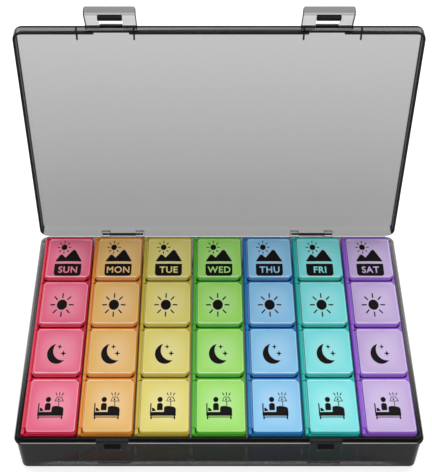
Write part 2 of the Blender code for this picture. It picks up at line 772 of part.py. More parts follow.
def barrel_with_stubs():
    half = BARREL_LENGTH / 2
    stations = [
        (-half - STUB_LENGTH, STUB_RADIUS),
        (-half, STUB_RADIUS),
        (-half, BARREL_RADIUS),
        (half, BARREL_RADIUS),
        (half, STUB_RADIUS),
        (half + STUB_LENGTH, STUB_RADIUS),
    ]
    rings = []
    for y, radius in stations:
        rings.append([Vector((x, y, z)) for x, z in circle((0, 0), radius, BARREL_SIDES)])
    return lofted(rings)


def make_cell_lid_mesh(row):
    bottom = CELL_LID_BOTTOM - BARREL_AXIS_HEIGHT
    shoulder = bottom + CELL_LID_EDGE
    edge = cell_lid_outline(row, False)
    face = cell_lid_outline(row, True)
    cap = lofted([ring(edge, bottom), ring(edge, shoulder), ring(face, shoulder + CELL_LID_BEVEL_RISE)])
    left = CELL_LID_LEFT - BARREL_AXIS_IN
    right = BOX_WIDTH - CELL_LID_SIDE_MARGIN - BARREL_AXIS_IN
    web = block((0, -BARREL_LENGTH / 2, bottom), (left + MERGE_DEPTH, BARREL_LENGTH / 2, shoulder))
    wall = CELL_LID_WALL + CELL_LID_BEVEL
    back, front = cell_lid_ends(row)
    back_bevel, front_bevel = cell_lid_bevels(row)
    end_wall = CELL_LID_WALL + FINGER_NOTCH / 2
    pocket = block(
        (left + wall, -front + front_bevel + end_wall, bottom - CUT_OVERRUN),
        (right - wall, back - back_bevel - end_wall, bottom + CELL_LID_POCKET),
    )
    return shaped_mesh("cell_lid", cap, [barrel_with_stubs(), web], [pocket])


def lighter(colour):
    return tuple(part + (1 - part) * LID_LIGHTENING_SHARE for part in colour)


def make_day_boxes():
    box_mesh = make_day_box_mesh()
    lid_meshes = [make_cell_lid_mesh(row) for row in range(len(ROWS))]
    for column, day in enumerate(DAYS):
        x = (column - (len(DAYS) - 1) / 2) * DAY_PITCH
        colour = linear(BOX_COLOURS[day])
        box = node("day_box_" + day, box_mesh, (x, 0, BOX_BOTTOM))
        paint(box, colour, COLOUR_ROUGHNESS)
        axis_x, axis_z = barrel_axis()
        for row, row_name in enumerate(ROWS):
            place = (axis_x, row_centre(row), axis_z)
            lid = node(f"lid_{day}_{row_name}", lid_meshes[row], place, box)
            paint(lid, lighter(colour), COLOUR_ROUGHNESS)


for existing in list(bpy.data.objects):
    bpy.data.objects.remove(existing)
make_tray()
make_hinge_pins()
make_latches(make_case_lid())
make_day_boxes()
bpy.context.view_layer.update()
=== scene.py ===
import json
import math

import bmesh
import bpy
import numpy as np
from mathutils import Matrix, Vector
from mathutils.geometry import delaunay_2d_cdt, interpolate_bezier


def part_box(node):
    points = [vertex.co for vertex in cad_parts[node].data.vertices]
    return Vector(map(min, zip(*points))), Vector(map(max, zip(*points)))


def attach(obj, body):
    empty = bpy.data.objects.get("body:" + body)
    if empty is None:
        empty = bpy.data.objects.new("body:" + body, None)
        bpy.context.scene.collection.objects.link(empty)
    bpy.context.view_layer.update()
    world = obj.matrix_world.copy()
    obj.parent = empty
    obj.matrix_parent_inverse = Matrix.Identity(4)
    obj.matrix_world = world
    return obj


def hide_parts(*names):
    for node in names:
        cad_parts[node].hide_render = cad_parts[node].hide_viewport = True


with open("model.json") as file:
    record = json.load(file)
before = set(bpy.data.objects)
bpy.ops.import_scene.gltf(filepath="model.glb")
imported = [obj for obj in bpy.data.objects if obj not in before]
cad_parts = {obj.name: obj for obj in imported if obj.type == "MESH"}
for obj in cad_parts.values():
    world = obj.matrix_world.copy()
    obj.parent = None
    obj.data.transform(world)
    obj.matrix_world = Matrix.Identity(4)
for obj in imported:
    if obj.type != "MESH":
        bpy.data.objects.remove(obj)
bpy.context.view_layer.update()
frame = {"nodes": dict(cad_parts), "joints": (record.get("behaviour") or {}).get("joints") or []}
print("frame loaded:", len(frame["nodes"]), "nodes")

# All sizes and places below are millimetres, and makePiece turns them into metres.
overrun = 1.0  # how far a cutting tool goes past what it cuts, at least
touch = 0.1  # how far a mask reaches past a surface
sharpAngle = 34  # degrees between two faces from which their edge is sharp

joints = {joint["name"]: joint for joint in frame["joints"]}
days = ["sunday", "monday", "tuesday", "wednesday", "thursday", "friday", "saturday"]
dayParts = ["morning", "noon", "evening", "bedtime"]


def millimetres(place):
    return np.array(place) * 1000


def jointPlace(name):
    return millimetres(joints[name]["pos_m"])


def nodeBox(name):
    low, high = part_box(name)
    return millimetres(low), millimetres(high)


# Profiles, rings and meshes


def roundedLine(corners, steps=4, closed=False):
    # Straight runs between the corners; each corner (u, v, radius) becomes an arc that touches both runs:
    # its points go round the arc's centre by equal turns from one touching point to the other.
    points = []
    last = len(corners) - 1
    for i, (u, v, radius) in enumerate(corners):
        here = np.array((u, v), float)
        if radius == 0 or (not closed and i in (0, last)):
            points.append(here[None])
            continue
        before = np.array(corners[i - 1][:2]) - here
        after = np.array(corners[(i + 1) % len(corners)][:2]) - here
        before, after = before / np.linalg.norm(before), after / np.linalg.norm(after)
        half = math.acos(np.clip(before @ after, -1, 1)) / 2
        middle = before + after
        centre = here + middle / np.linalg.norm(middle) * radius / math.sin(half)
        first = here + before * radius / math.tan(half) - centre
        final = here + after * radius / math.tan(half) - centre
        sweep = math.pi - 2 * half
        share = np.linspace(0, 1, steps + 1)[:, None]
        turned = np.sin((1 - share) * sweep) * first + np.sin(share * sweep) * final
        points.append(centre + turned / math.sin(sweep))
    return np.concatenate(points)


def arc(centre, radius, start, end, count):
    # Points round a centre by equal turns, from one angle in degrees to another
    turn = np.radians(np.linspace(start, end, count))
    return np.array(centre) + radius * np.stack((np.cos(turn), np.sin(turn)), axis=1)


def divided(outline, parts):
    # Each straight run of a closed outline cut into its number of equal parts
    index = np.repeat(np.arange(len(outline)), parts)
    share = (np.arange(len(index)) - np.repeat(np.cumsum(parts) - parts, parts)) / parts[index]
    runs = np.roll(outline, -1, axis=0) - outline
    return outline[index] + share[:, None] * runs[index]


def ringStack(profile, halfX, halfY, radius, steps=6, leastRadius=0.3):
    # One rounded rectangle for each row (inset in x, inset in y, height) of the profile: a point is the
    # centre of its corner's arc plus the arc's radius times (cos, sin) of a quarter turn.
    insetX, insetY, height = (profile[:, i, None] for i in range(3))
    turn = np.repeat(np.arange(4), steps + 1) * np.pi / 2 + np.tile(np.linspace(0, np.pi / 2, steps + 1), 4)
    signX = np.repeat((1, -1, -1, 1), steps + 1)
    signY = np.repeat((1, 1, -1, -1), steps + 1)
    corner = np.maximum(radius - np.minimum(insetX, insetY), leastRadius)
    x = signX * (halfX - insetX - corner) + corner * np.cos(turn)
    y = signY * (halfY - insetY - corner) + corner * np.sin(turn)
    return np.stack((x, y, height + np.zeros_like(x)), axis=-1)


def evenInset(profile):
    # The same inset in x and in y
    return profile[:, [0, 0, 1]]


def gridFaces(rows, columns):
    # Quads between neighbouring points of a grid whose columns run round
    i, j = np.meshgrid(np.arange(rows - 1), np.arange(columns), indexing="ij")
    low, nextJ = i.ravel() * columns, (j.ravel() + 1) % columns
    corners = (low + j.ravel(), low + nextJ, low + columns + nextJ, low + columns + j.ravel())
    return np.stack(corners, axis=1).tolist()


def ringsMesh(rings):
    # A closed skin over a stack of rings (rows, columns, 3), with a flat cap on the first and the last
    rows, columns = rings.shape[:2]
    faces = gridFaces(rows, columns)
    faces.append(list(range(columns))[::-1])
    faces.append(list(range((rows - 1) * columns, rows * columns)))
    mesh = bpy.data.meshes.new("rings")
    mesh.from_pydata(rings.reshape(-1, 3).tolist(), [], faces)
    mesh.validate()
    return mesh


def roundedShell(corners, halfX, halfY, corner, lineSteps, steps=6):
    # A rounded rectangle carried round a line with the corners (inset, height, radius)
    line = roundedLine(corners, lineSteps)
    return ringsMesh(ringStack(evenInset(line), halfX, halfY, corner, steps))


def softBlock(low, high, edge=0.3, corner=0.3, steps=3):
    # A block with rounded edges, as a stack of rounded rectangles whose caps start two edges in
    low, high = np.array(low, float), np.array(high, float)
    middle, half = (low + high) / 2, (high - low) / 2
    line = roundedLine(
        [(half[0], low[2], 0), (0, low[2], edge), (0, high[2], edge), (half[0], high[2], 0)], steps
    )
    line[[0, -1], 0] = edge * 2
    rings = ringStack(evenInset(line), half[0], half[1], corner, steps, edge / 4)
    return ringsMesh(rings + (middle[0], middle[1], 0))


def carried(outline, low, high, axis, edge=0):
    # A closed profile (u, v) carried along an axis from low to high; its ends are drawn in by a rounded edge:
    # each ring keeps its place towards the profile's middle by the share that the edge's arc takes off.
    outline = np.array(outline, float)
    middle = (outline.min(0) + outline.max(0)) / 2
    reach = (outline.max(0) - outline.min(0)) / 2
    if edge:
        turn = np.linspace(0, np.pi / 2, 4)
        along, inset = edge * (1 - np.cos(turn)), edge * (1 - np.sin(turn))
        places = np.concatenate((low + along, high - along[::-1]))
        insets = np.concatenate((inset, inset[::-1]))
    else:
        places, insets = np.array((low, high), float), np.zeros(2)
    shrink = 1 - insets[:, None, None] / reach
    flat = middle + (outline - middle) * shrink
    rings = np.empty((len(places), len(outline), 3))
    across = [i for i in range(3) if i != axis]
    rings[..., across] = flat
    rings[..., axis] = places[:, None]
    mesh = ringsMesh(rings)
    if axis == 1:
        mesh.flip_normals()
    return mesh


def turnedRod(profile, axis, centre, sides=32):
    # A lathe form: every (place along the axis, radius) of the profile goes once round
    profile = np.array(profile, float)
    turn = np.linspace(0, 2 * np.pi, sides, endpoint=False)
    rings = np.empty((len(profile), sides, 3))
    across = [(axis + 1) % 3, (axis + 2) % 3]
    rings[..., across[0]] = profile[:, 1, None] * np.cos(turn)
    rings[..., across[1]] = profile[:, 1, None] * np.sin(turn)
    rings[..., axis] = profile[:, 0, None]
    return ringsMesh(rings + np.array(centre, float))


def straightRod(half, radius, axis, centre, sides=32):
    # A plain rod, which makes the bores
    return turnedRod([(-half, radius), (half, radius)], axis, centre, sides)


def rodProfile(half, radius, edge, tip=0.05):
    # A rod with rounded ends, from the small cap on one end to the one on the other
    return roundedLine([(-half, tip, 0), (-half, radius, edge), (half, radius, edge), (half, tip, 0)], 4)


# Objects, booleans and finished pieces


def newObject(data, name="solid"):
    thing = bpy.data.objects.new(name, data)
    bpy.context.scene.collection.objects.link(thing)
    return thing


def discard(thing):
    mesh = thing.data
    bpy.data.objects.remove(thing)
    bpy.data.meshes.remove(mesh)


def combined(body, operation, tools):
    # A body after a boolean with each of the tools; it uses up all of them
    thing, made = newObject(body), [newObject(tool, "tool") for tool in tools]
    for tool in made:
        modifier = thing.modifiers.new("shape", "BOOLEAN")
        modifier.operation = operation
        modifier.solver = "EXACT"
        modifier.object = tool
    bpy.context.view_layer.update()
    result = bpy.data.meshes.new_from_object(thing.evaluated_get(bpy.context.evaluated_depsgraph_get()))
    for used in (thing, *made):
        discard(used)
    return result


def shaped(body, unions=(), cuts=()):
    # One mesh from a body, the meshes that join it and the meshes that are cut out of it
    return combined(combined(body, "UNION", unions), "DIFFERENCE", cuts)


def pointsOf(mesh):
    points = np.empty(len(mesh.vertices) * 3, np.float32)
    mesh.vertices.foreach_get("co", points)
    return points.reshape(-1, 3).astype(float)


def movePoints(mesh, points):
    mesh.vertices.foreach_set("co", points.astype(np.float32).ravel())
    mesh.update()


def setAttribute(mesh, name, values):
    # The values of all points, or one value for all
    attribute = mesh.attributes.new(name, "FLOAT", "POINT")
    attribute.data.foreach_set("value", np.full(len(mesh.vertices), values, np.float32))


def joined(meshes):
    # Several meshes as one, each keeping its own skin
    body = bmesh.new()
    for mesh in meshes:
        body.from_mesh(mesh)
    result = bpy.data.meshes.new("joined")
    body.to_mesh(result)
    body.free()
    return result


def movedCopy(mesh, move):
    copy = mesh.copy()
    movePoints(copy, pointsOf(mesh) @ np.array(move.to_3x3()).T + np.array(move.translation))
    return copy


def makePiece(name, mesh, body, material, replaced=()):
    # A finished piece in metres at the origin, riding on its body
    movePoints(mesh, pointsOf(mesh) * 0.001)
    mesh.name = name
    mesh.shade_smooth()
    mesh.set_sharp_from_angle(angle=math.radians(sharpAngle))
    mesh.materials.clear()
    mesh.materials.append(material)
    piece = newObject(mesh, name)
    weighted = piece.modifiers.new("even shading", "WEIGHTED_NORMAL")
    weighted.keep_sharp = True
    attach(piece, body)
    if replaced:
        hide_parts(*replaced)


# Materials


def colour(hexCode):
    # Linear colour of an sRGB hex value
    parts = np.array(list(bytes.fromhex(hexCode))) / 255
    linear = np.where(parts < 0.04045, parts / 12.92, ((parts + 0.055) / 1.055) ** 2.4)
    return (*linear.tolist(), 1)


def addNode(tree, kind, settings=None, links=None):
    # Settings are the node's own properties or its inputs' values, and links are input: (node, output)
    node = tree.nodes.new("ShaderNode" + kind)
    for key, value in (settings or {}).items():
        if isinstance(key, int) or key in node.inputs:
            node.inputs[key].default_value = value
        else:
            setattr(node, key, value)
    for key, (source, output) in (links or {}).items():
        tree.links.new(source.outputs[output], node.inputs[key])
    return node


def newMaterial(name):
    material = bpy.data.materials.new(name)
    material.use_nodes = True
    tree = material.node_tree
    tree.nodes.clear()
    return material, tree


def finishMaterial(tree, shader):
    addNode(tree, "OutputMaterial", None, {"Surface": (shader, "BSDF")})


# Numbers of the sockets of a Mix node that mixes colours
mixShare, mixFrom, mixTo, mixColour = 0, 6, 7, 2


def mixedColours(tree, share, start, end):
    # From one hex colour to another by a share
    settings = {"data_type": "RGBA", mixFrom: colour(start), mixTo: colour(end)}
    return addNode(tree, "Mix", settings, {mixShare: share})


def noise(tree, size, detail=2.0):
    # A pattern over Object coordinates with features of about this size
    place = addNode(tree, "TexCoord")
    settings = {"Scale": 1000 / size, "Detail": detail}
    return addNode(tree, "TexNoise", settings, {"Vector": (place, "Object")})


def heightOf(tree):
    # The output with a point's height above the ground in Object coordinates
    place = addNode(tree, "TexCoord")
    return addNode(tree, "SeparateXYZ", None, {"Vector": (place, "Object")}), "Z"


def spread(tree, source, start, end, low=0.0, high=1.0, kind="LINEAR"):
    # An output's run from start to end taken to the run from low to high
    return addNode(
        tree, "MapRange",
        {"interpolation_type": kind, "From Min": start, "From Max": end, "To Min": low, "To Max": high},
        {"Value": source},
    )


def bumped(tree, pattern, depth, under=None):
    # The normal of a skin that rises and falls with a pattern, by a depth, on top of another normal
    links = {"Height": (pattern, "Fac")}
    if under:
        links["Normal"] = (under, "Normal")
    return addNode(tree, "Bump", {"Distance": depth * 0.001}, links)


def mouldedSkin(tree, look):
    # A moulded surface's slow ripple and fine grain, and the normal that both give
    ripple, grain = noise(tree, look["rippleSize"], detail=1.0), noise(tree, look["grainSize"])
    wavy = bumped(tree, ripple, look["rippleDepth"])
    return ripple, grain, bumped(tree, grain, look["grainDepth"], wavy)


def unevenRoughness(tree, look, pattern):
    # The roughness runs between two shares of its value with a pattern
    low, high = look["roughnessShares"]
    return spread(tree, (pattern, "Fac"), 0, 1, look["roughness"] * low, look["roughness"] * high)


smokeLook = {
    "colour": "131314",
    # the light grey of the painted highlights
    "litEdge": "b8b6b4",
    "edgeAlpha": 0.97,  # of plastic that is looked into end on
    "grazingAlpha": 0.98,
    "grazingPower": 3.0,
    "roughness": 0.18,
    "roughnessShares": (0.85, 1.2),
    "ior": 1.49,
    "specular": 0.1,
    "denseHeight": 55,  # the heights between which the alpha changes; where it is larger lower down, the plate is painted darker there, as shade
    "clearHeight": 180,
    "rippleSize": 9.0,  # the slow waviness of a large moulded wall
    "rippleDepth": 0.02,
    "grainSize": 0.35,
    "grainDepth": 0.0015,
}


def smokePolypropylene(name, lowAlpha, highAlpha):
    # Injection-moulded polypropylene tinted smoke grey: see-through square on, dark where the eye looks
    # along a wall or into an edge, with the soft gloss and slight waviness of a polished mould. The alphas
    # are those of one surface seen square on, low down and high up; where the low one is larger, as on the
    # open lid, the surface is painted darker lower down, as shade. Where a point attribute says so, the
    # colour is mixed towards a light grey as a painted highlight.
    look = smokeLook
    material, tree = newMaterial(name)
    ripple, _, normal = mouldedSkin(tree, look)
    dense, clear = look["denseHeight"] / 1000, look["clearHeight"] / 1000
    # painted shade: the alpha grows lower down when the low alpha is the larger
    heightAlpha = spread(tree, heightOf(tree), dense, clear, lowAlpha, highAlpha)
    facing = addNode(tree, "LayerWeight", {"Blend": 0.5})
    steep = addNode(
        tree, "Math", {"operation": "POWER", 1: look["grazingPower"]}, {0: (facing, "Facing")}
    )
    wall = addNode(
        tree, "MapRange",
        {"To Max": look["grazingAlpha"]}, {"Value": (steep, "Value"), "To Min": (heightAlpha, "Result")},
    )
    edge = addNode(tree, "Attribute", {"attribute_name": "edgeDepth"})
    alpha = addNode(
        tree, "Math", {"operation": "MAXIMUM"}, {0: (wall, "Result"), 1: (edge, "Fac")}
    )
    # painted highlight: the marked points are mixed towards a light grey
    highlight = addNode(tree, "Attribute", {"attribute_name": "edgeGlow"})
    tint = mixedColours(tree, (highlight, "Fac"), look["colour"], look["litEdge"])
    shader = addNode(
        tree, "BsdfPrincipled",
        {"IOR": look["ior"], "Specular IOR Level": look["specular"]},
        {
            "Base Color": (tint, mixColour), "Alpha": (alpha, "Value"), "Normal": (normal, "Normal"),
            "Roughness": (unevenRoughness(tree, look, ripple), "Result"),
        },
    )
    finishMaterial(tree, shader)
    return material


pinLook = {"colour": "1c1b1d", "roughness": 0.3, "roughnessShares": (0.8, 1.2), "grainSize": 0.6667}


def mouldedPinPlastic():
    # Solid moulded rod in the same dark resin, a little duller than the case
    material, tree = newMaterial("mouldedPinPlastic")
    grain = noise(tree, pinLook["grainSize"])
    shader = addNode(
        tree, "BsdfPrincipled", {"Base Color": colour(pinLook["colour"])},
        {"Roughness": (unevenRoughness(tree, pinLook, grain), "Result")},
    )
    finishMaterial(tree, shader)
    return material


# The slot, the pale colour of a lid's face, and the deep colour of bevels, grooves and walls, which is partly
#  their more saturated plastic and partly painted shade
dayColours = {
    "sunday": ("pink", "dd6282", "d00f3c"),
    "monday": ("orange", "d9aa5c", "d5821e"),
    "tuesday": ("yellow", "d4c764", "b9a52c"),
    "wednesday": ("green", "92d458", "41a815"),
    "thursday": ("blue", "7cbbe2", "0a70b4"),
    "friday": ("teal", "70d6d8", "0baca6"),
    "saturday": ("purple", "b8a0d0", "8a50c6"),
}
tintLook = {
    "roughness": 0.26,
    "roughnessShares": (0.9, 1.15),
    "coat": 0.08,
    "coatRoughness": 0.1,
    "specular": 0.22,
    "ior": 1.49,
    "deepBelow": 30.5,  # height at which the colour is at its deepest
    "paleAbove": 31.35,
    "crownTop": 31.72,
    "crownGlow": 0.16,  # share of white painted where the crown is highest, a painted highlight
    "edgeGlow": 0.4,
    "rippleSize": 7.0,
    "rippleDepth": 0.012,
    "grainSize": 0.4,
    "grainDepth": 0.0012,
}


def tintedPolypropylene(name, pale, deep):
    # Injection-moulded translucent polypropylene, pale on a lid's face and saturated and darker lower down
    # along bevels, grooves and walls, partly the colour of thicker plastic and partly painted shade; white is
    # mixed in where the crown is highest and along the edges that an attribute marks, as painted highlights;
    # a satin gloss with a fine mould grain.
    look = tintLook
    material, tree = newMaterial(name)
    _, grain, normal = mouldedSkin(tree, look)
    low, high, top = look["deepBelow"] / 1000, look["paleAbove"] / 1000, look["crownTop"] / 1000
    # partly painted shade: lower down the colour deepens and darkens
    depth = spread(tree, heightOf(tree), low, high, kind="SMOOTHSTEP")
    tint = mixedColours(tree, (depth, "Result"), deep, pale)
    # painted highlight: white rises towards the crown's top
    crown = spread(tree, heightOf(tree), high, top, high=look["crownGlow"])
    # painted highlight along the edges that the attribute marks
    edge = addNode(tree, "Attribute", {"attribute_name": "edgeGlow"})
    highlight = addNode(
        tree, "Math", {"operation": "MULTIPLY", 1: look["edgeGlow"]}, {0: (edge, "Fac")}
    )
    for share in ((crown, "Result"), (highlight, "Value")):
        tint = addNode(
            tree, "Mix",
            {"data_type": "RGBA", mixTo: colour("ffffff")}, {mixShare: share, mixFrom: (tint, mixColour)},
        )
    shader = addNode(
        tree, "BsdfPrincipled",
        {
            "IOR": look["ior"], "Coat Weight": look["coat"], "Coat Roughness": look["coatRoughness"],
            "Specular IOR Level": look["specular"],
        },
        {
            "Base Color": (tint, mixColour), "Normal": (normal, "Normal"),
            "Roughness": (unevenRoughness(tree, look, grain), "Result"),
        },
    )
    finishMaterial(tree, shader)
    return material


inkLook = {
    "colour": "0b0909",
    "mottle": "151111",
    "mottleSize": 1.111,
    "roughness": 0.5,
    "roughnessShares": (0.85, 1.2),
    "specular": 0.06,
}


def padPrintInk():
    # Pad-printed ink: a thin near-black film with the mottled half-gloss of solvent ink
    material, tree = newMaterial("padPrintInk")
    mottle = noise(tree, inkLook["mottleSize"], detail=3.0)
    tint = mixedColours(tree, (mottle, "Fac"), inkLook["colour"], inkLook["mottle"])
    shader = addNode(
        tree, "BsdfPrincipled", {"Specular IOR Level": inkLook["specular"]},
        {"Base Color": (tint, mixColour), "Roughness": (unevenRoughness(tree, inkLook, mottle), "Result")},
    )
    finishMaterial(tree, shader)
    return material


lidSmoke = smokePolypropylene("smokeLidPolypropylene", lowAlpha=0.445, highAlpha=0.342)
latchSmoke = smokePolypropylene("smokeLatchPolypropylene", lowAlpha=0.18, highAlpha=0.18)
traySmoke = smokePolypropylene("smokeTrayPolypropylene", lowAlpha=0.56, highAlpha=0.56)
bracketSmoke = smokePolypropylene("smokeBracketPolypropylene", lowAlpha=0.225, highAlpha=0.225)
pinPlastic = mouldedPinPlastic()
ink = padPrintInk()
print("materials ready")


# Tray of the case

hinge = jointPlace("case_lid_hinge")
latchPlaces = {side: jointPlace(f"latch_{side}_hinge") for side in ("left", "right")}
latchSpread = latchPlaces["right"][0]

case = {
    "halfX": 112.0,
    "halfY": 77.0,
    "corner": 5.0,
    "flangeReach": 1.8,
    "overhang": 1.0,  # of the flange over the wall below it
    "flangeTop": 26.6,
    "flangeUnderside": 24.6,
    "lipTop": 28.2,
    "wall": 1.3,
    "floor": 1.6,
    "draft": 0.5,
    "footRadius": 1.5,
    "hingeSpread": 60.0,
    "knuckle": 16.0,
    "hingeRadius": 1.4,
    "hingePin": 0.6,
    "boreGap": 0.15,
    "ear": 5.0,
    "play": 0.3,
    "root": 0.6,  # how deep a piece runs into the wall that carries it
}
tray = {
    "underFlangeRound": 0.3,
    "flangeRound": 0.5,
    "lipFootRound": 0.35,
    "lipRound": 0.4,
    "floorRound": 1.4,
    "baseRim": 6.5,  # the tray stands on a rim round a shallow recess
    "baseRecess": 0.5,
    "baseRound": 0.25,
    "capReach": 8.0,
    "padWidth": 18.5,
    "padDepth": 0.8,
    "padFoot": 6.0,
    "catchWidth": 8.7,
    "catchReach": 1.7,
    "catchUnderside": 21.2,
    "catchFaceTop": 23.8,
    "catchTop": 25.8,
    "ledgeDrop": 1.5,
    "ledgeProud": 0.25,
    "seam": 0.02,  # keeps two faces from lying in one plane
    "bracketDrop": 8.0,
    "bracketCheek": 0.2,
    "stopReach": 4.0,
    "stopDepth": 2.0,
    "rearRib": 0.8,
    "ribGap": 0.05,
    "openAngle": -joints["case_lid_hinge"]["range_deg"][0],
    "rimReach": 4.0,  # how far in and down the rim looks thick
    "rimDrop": 0.6,
    "catchBand": 2.0,  # how far above the flange's underside the catches look thick
    "lightDrop": 0.15,  # the painted highlight line's depth below the flange's top, and its half width
    "lightLine": 0.18,
}


def trayShell():
    # The wall goes up outside, round the flange and the lip, and down inside to the floor
    lip, wall, inner = case["flangeReach"], case["overhang"], case["flangeReach"] + case["wall"]
    recess = tray["baseRim"] + case["footRadius"]
    corners = [
        (recess + tray["capReach"], tray["baseRecess"], 0),
        (recess, tray["baseRecess"], tray["baseRound"]),
        (recess - tray["baseRecess"], 0, tray["baseRound"]),
        (wall + case["draft"], 0, case["footRadius"]),
        (wall, case["flangeUnderside"], tray["underFlangeRound"]),
        (0, case["flangeUnderside"], tray["flangeRound"]),
        (0, case["flangeTop"], tray["flangeRound"]),
        (lip, case["flangeTop"], tray["lipFootRound"]),
        (lip, case["lipTop"], tray["lipRound"]),
        (inner, case["lipTop"], tray["lipRound"]),
        (inner + case["draft"], case["floor"], tray["floorRound"]),
        (recess + tray["capReach"], case["floor"], 0),
    ]
    return roundedShell(corners, case["halfX"], case["halfY"], case["corner"], lineSteps=5, steps=8)


def latchPad(x):
    half, back = tray["padWidth"] / 2, -case["halfY"] + case["flangeReach"] + tray["padDepth"]
    low = (x - half, -case["halfY"], tray["padFoot"])
    return softBlock(low, (x + half, back, case["lipTop"] - tray["seam"]), edge=0.35, corner=0.6)


def latchCatch(x):
    # A wedge: the hook rides over its slope and holds under its flat underside
    wall, half = -case["halfY"], tray["catchWidth"] / 2
    outline = roundedLine(
        [
            (wall + case["root"], tray["catchUnderside"], 0),
            (wall + case["root"], tray["catchTop"] + case["play"], 0),
            (wall + touch, tray["catchTop"] + touch, 0.1),
            (wall - tray["catchReach"], tray["catchFaceTop"], 0.3),
            (wall - tray["catchReach"], tray["catchUnderside"], 0.2),
        ],
        steps=3, closed=True,
    )
    return carried(outline, x - half, x + half, axis=0, edge=0.2)


def catchLedge(x):
    # A thin ledge on the pad, which the hook's face slides along below the catch
    half, top = tray["catchWidth"] / 2, tray["catchUnderside"]
    low = (x - half, -case["halfY"] - tray["ledgeProud"], top - tray["ledgeDrop"])
    high = (x + half, -case["halfY"] + case["root"], top - tray["seam"])
    return softBlock(low, high, edge=0.08, corner=0.1)


def hingeBracket(lowX):
    # Round about the pin over the rear flange, with a shoulder behind it that stops the open lid's rear skirt
    angle = math.radians(tray["openAngle"])
    along = np.array((math.sin(angle), math.cos(angle)))
    axis, radius = hinge[1:], case["hingeRadius"]
    under = axis + case["play"] * np.array((math.cos(angle), -math.sin(angle)))
    shoulder = under + tray["stopReach"] * along
    outside = case["halfY"] - case["overhang"]
    inside, neck = outside - case["root"], (case["flangeTop"] + case["flangeUnderside"]) / 2
    foot = axis[1] - tray["bracketDrop"]
    dome = arc(axis, radius, 180, 0, 17)
    outline = [
        (inside, foot), (inside, neck), (axis[0] - radius, neck), *dome.tolist(),
        tuple(under + radius * along), tuple(shoulder), (shoulder[0], shoulder[1] - tray["stopDepth"]),
        (outside, foot),
    ]
    cheek = tray["bracketCheek"]
    return carried(outline, lowX - cheek, lowX + case["ear"] + cheek, axis=0, edge=0.1)


def hingeBore(x, half):
    return straightRod(half, case["hingePin"] + case["boreGap"], 0, (x, hinge[1], hinge[2]))


def rearLip():
    # The lip leaves off along the rear side, where the lid's skirt swings in over the flange
    past = 2 * overrun
    low = (-case["halfX"] - past, case["halfY"] - case["corner"], case["flangeTop"])
    high = (case["halfX"] + past, case["halfY"] + past, case["lipTop"] + past)
    return softBlock(low, high, edge=0.05, corner=0.05)


def rearRib(side):
    # A thin rib behind the flange, from the corner to the middle
    low, high = sorted((side * (case["halfX"] - case["corner"]), side * tray["ribGap"]))
    foot = (low, case["halfY"] - case["root"], case["flangeUnderside"] + case["root"])
    head = (high, case["halfY"] + tray["rearRib"], case["flangeTop"] - touch)
    return softBlock(foot, head, edge=0.1, corner=0.1)


def hingeBrackets():
    middle, half = case["hingeSpread"], case["knuckle"] / 2 + case["play"]
    for side, name in ((-1, "left"), (1, "right")):
        pair = joined([hingeBracket(side * middle - half - case["ear"]), hingeBracket(side * middle + half)])
        mesh = shaped(pair, cuts=[hingeBore(side * middle, half + case["ear"] + overrun)])
        mesh = joined([mesh, rearRib(side)])
        makePiece(f"hingeBrackets_{name}", mesh, "tray", bracketSmoke)


def smokeTray():
    unions = []
    for place in (-latchSpread, latchSpread):
        unions += [latchPad(place), latchCatch(place), catchLedge(place)]
    mesh = shaped(shaped(trayShell(), cuts=[rearLip()]), unions)
    x, y, z = pointsOf(mesh).T
    # The rim, the catches and the foot are looked into end on
    outward = np.maximum(np.abs(x) - case["halfX"], np.abs(y) - case["halfY"])
    rim = (z > case["flangeUnderside"] - tray["rimDrop"]) & (outward > -tray["rimReach"])
    rim &= y < case["halfY"] - case["corner"]
    catch = (y < -case["halfY"] - touch) & (z < case["flangeUnderside"] + tray["catchBand"])
    foot = (z < case["footRadius"] + touch) & (outward > -tray["baseRim"] - 2 * case["footRadius"])
    setAttribute(mesh, "edgeDepth", np.where(rim | catch | foot, smokeLook["edgeAlpha"], 0.0))
    # Painted highlights: the flange's top edge and the ledge under each catch are mixed towards a light grey
    line = case["flangeTop"] - tray["lightDrop"]
    lightLine = (np.abs(z - line) < tray["lightLine"]) & (outward > -4 * touch) & (outward < touch / 2)
    ledge = (y < -case["halfY"] - touch / 2) & (z < tray["catchUnderside"] - touch / 2)
    setAttribute(mesh, "edgeGlow", np.where(ledge | lightLine, 1.0, 0.0))
    makePiece("smokeTray", mesh, "tray", traySmoke, ["case_base"])


smokeTray()
hingeBrackets()
print("tray made")


# Lid of the case, modelled shut and then swung open

caseLid = {
    "skirtFoot": 26.9,
    "footRound": 0.35,
    "skirt": 1.5,
    "top": 34.1,
    "underside": 32.6,
    "edgeRound": 1.2,
    "edgeRun": 0.5,
    "innerRound": 2.6,
    "edgeBand": 0.6,
    "capReach": 14.0,
    "lugWidth": 12.4,
    "lugArm": 2.0,
    "lugBore": 0.85,
    "lugBoreHalf": 16.0,
    "barrel": 1.6,
    "latchOut": 1.9,  # the latch axis in front of the skirt and above the tray's flange
    "latchUp": 3.0,
    "gusset": 0.9,
    "gussetRoot": 0.7,
    "gussetReach": 5.0,
    "gussetInner": 11.9,
    "gussetOuter": 19.4,
    "gussetTail": 7.6,
    "gussetTailDepth": 0.75,
    "padNotch": 19.3,
    "padNotchTop": 28.8,
    "frontSkirtAlpha": 0.71,
    "darkEdge": 1.3,  # how far down the skirt the outer edge looks dark
    "darkFade": 0.2,
    "darkReach": 1.5,
    "footBand": 0.36,
    "sideBand": 0.7,
    "notchBand": 0.4,
}
darkFoot = caseLid["top"] - caseLid["edgeRound"] - caseLid["darkEdge"]
latchAxis = np.array((0, -case["halfY"] - caseLid["latchOut"], case["flangeTop"] + caseLid["latchUp"]))
openLid = (
    Matrix.Translation(hinge)
    @ Matrix.Rotation(-math.radians(tray["openAngle"]), 4, "X")
    @ Matrix.Translation(-hinge)
)


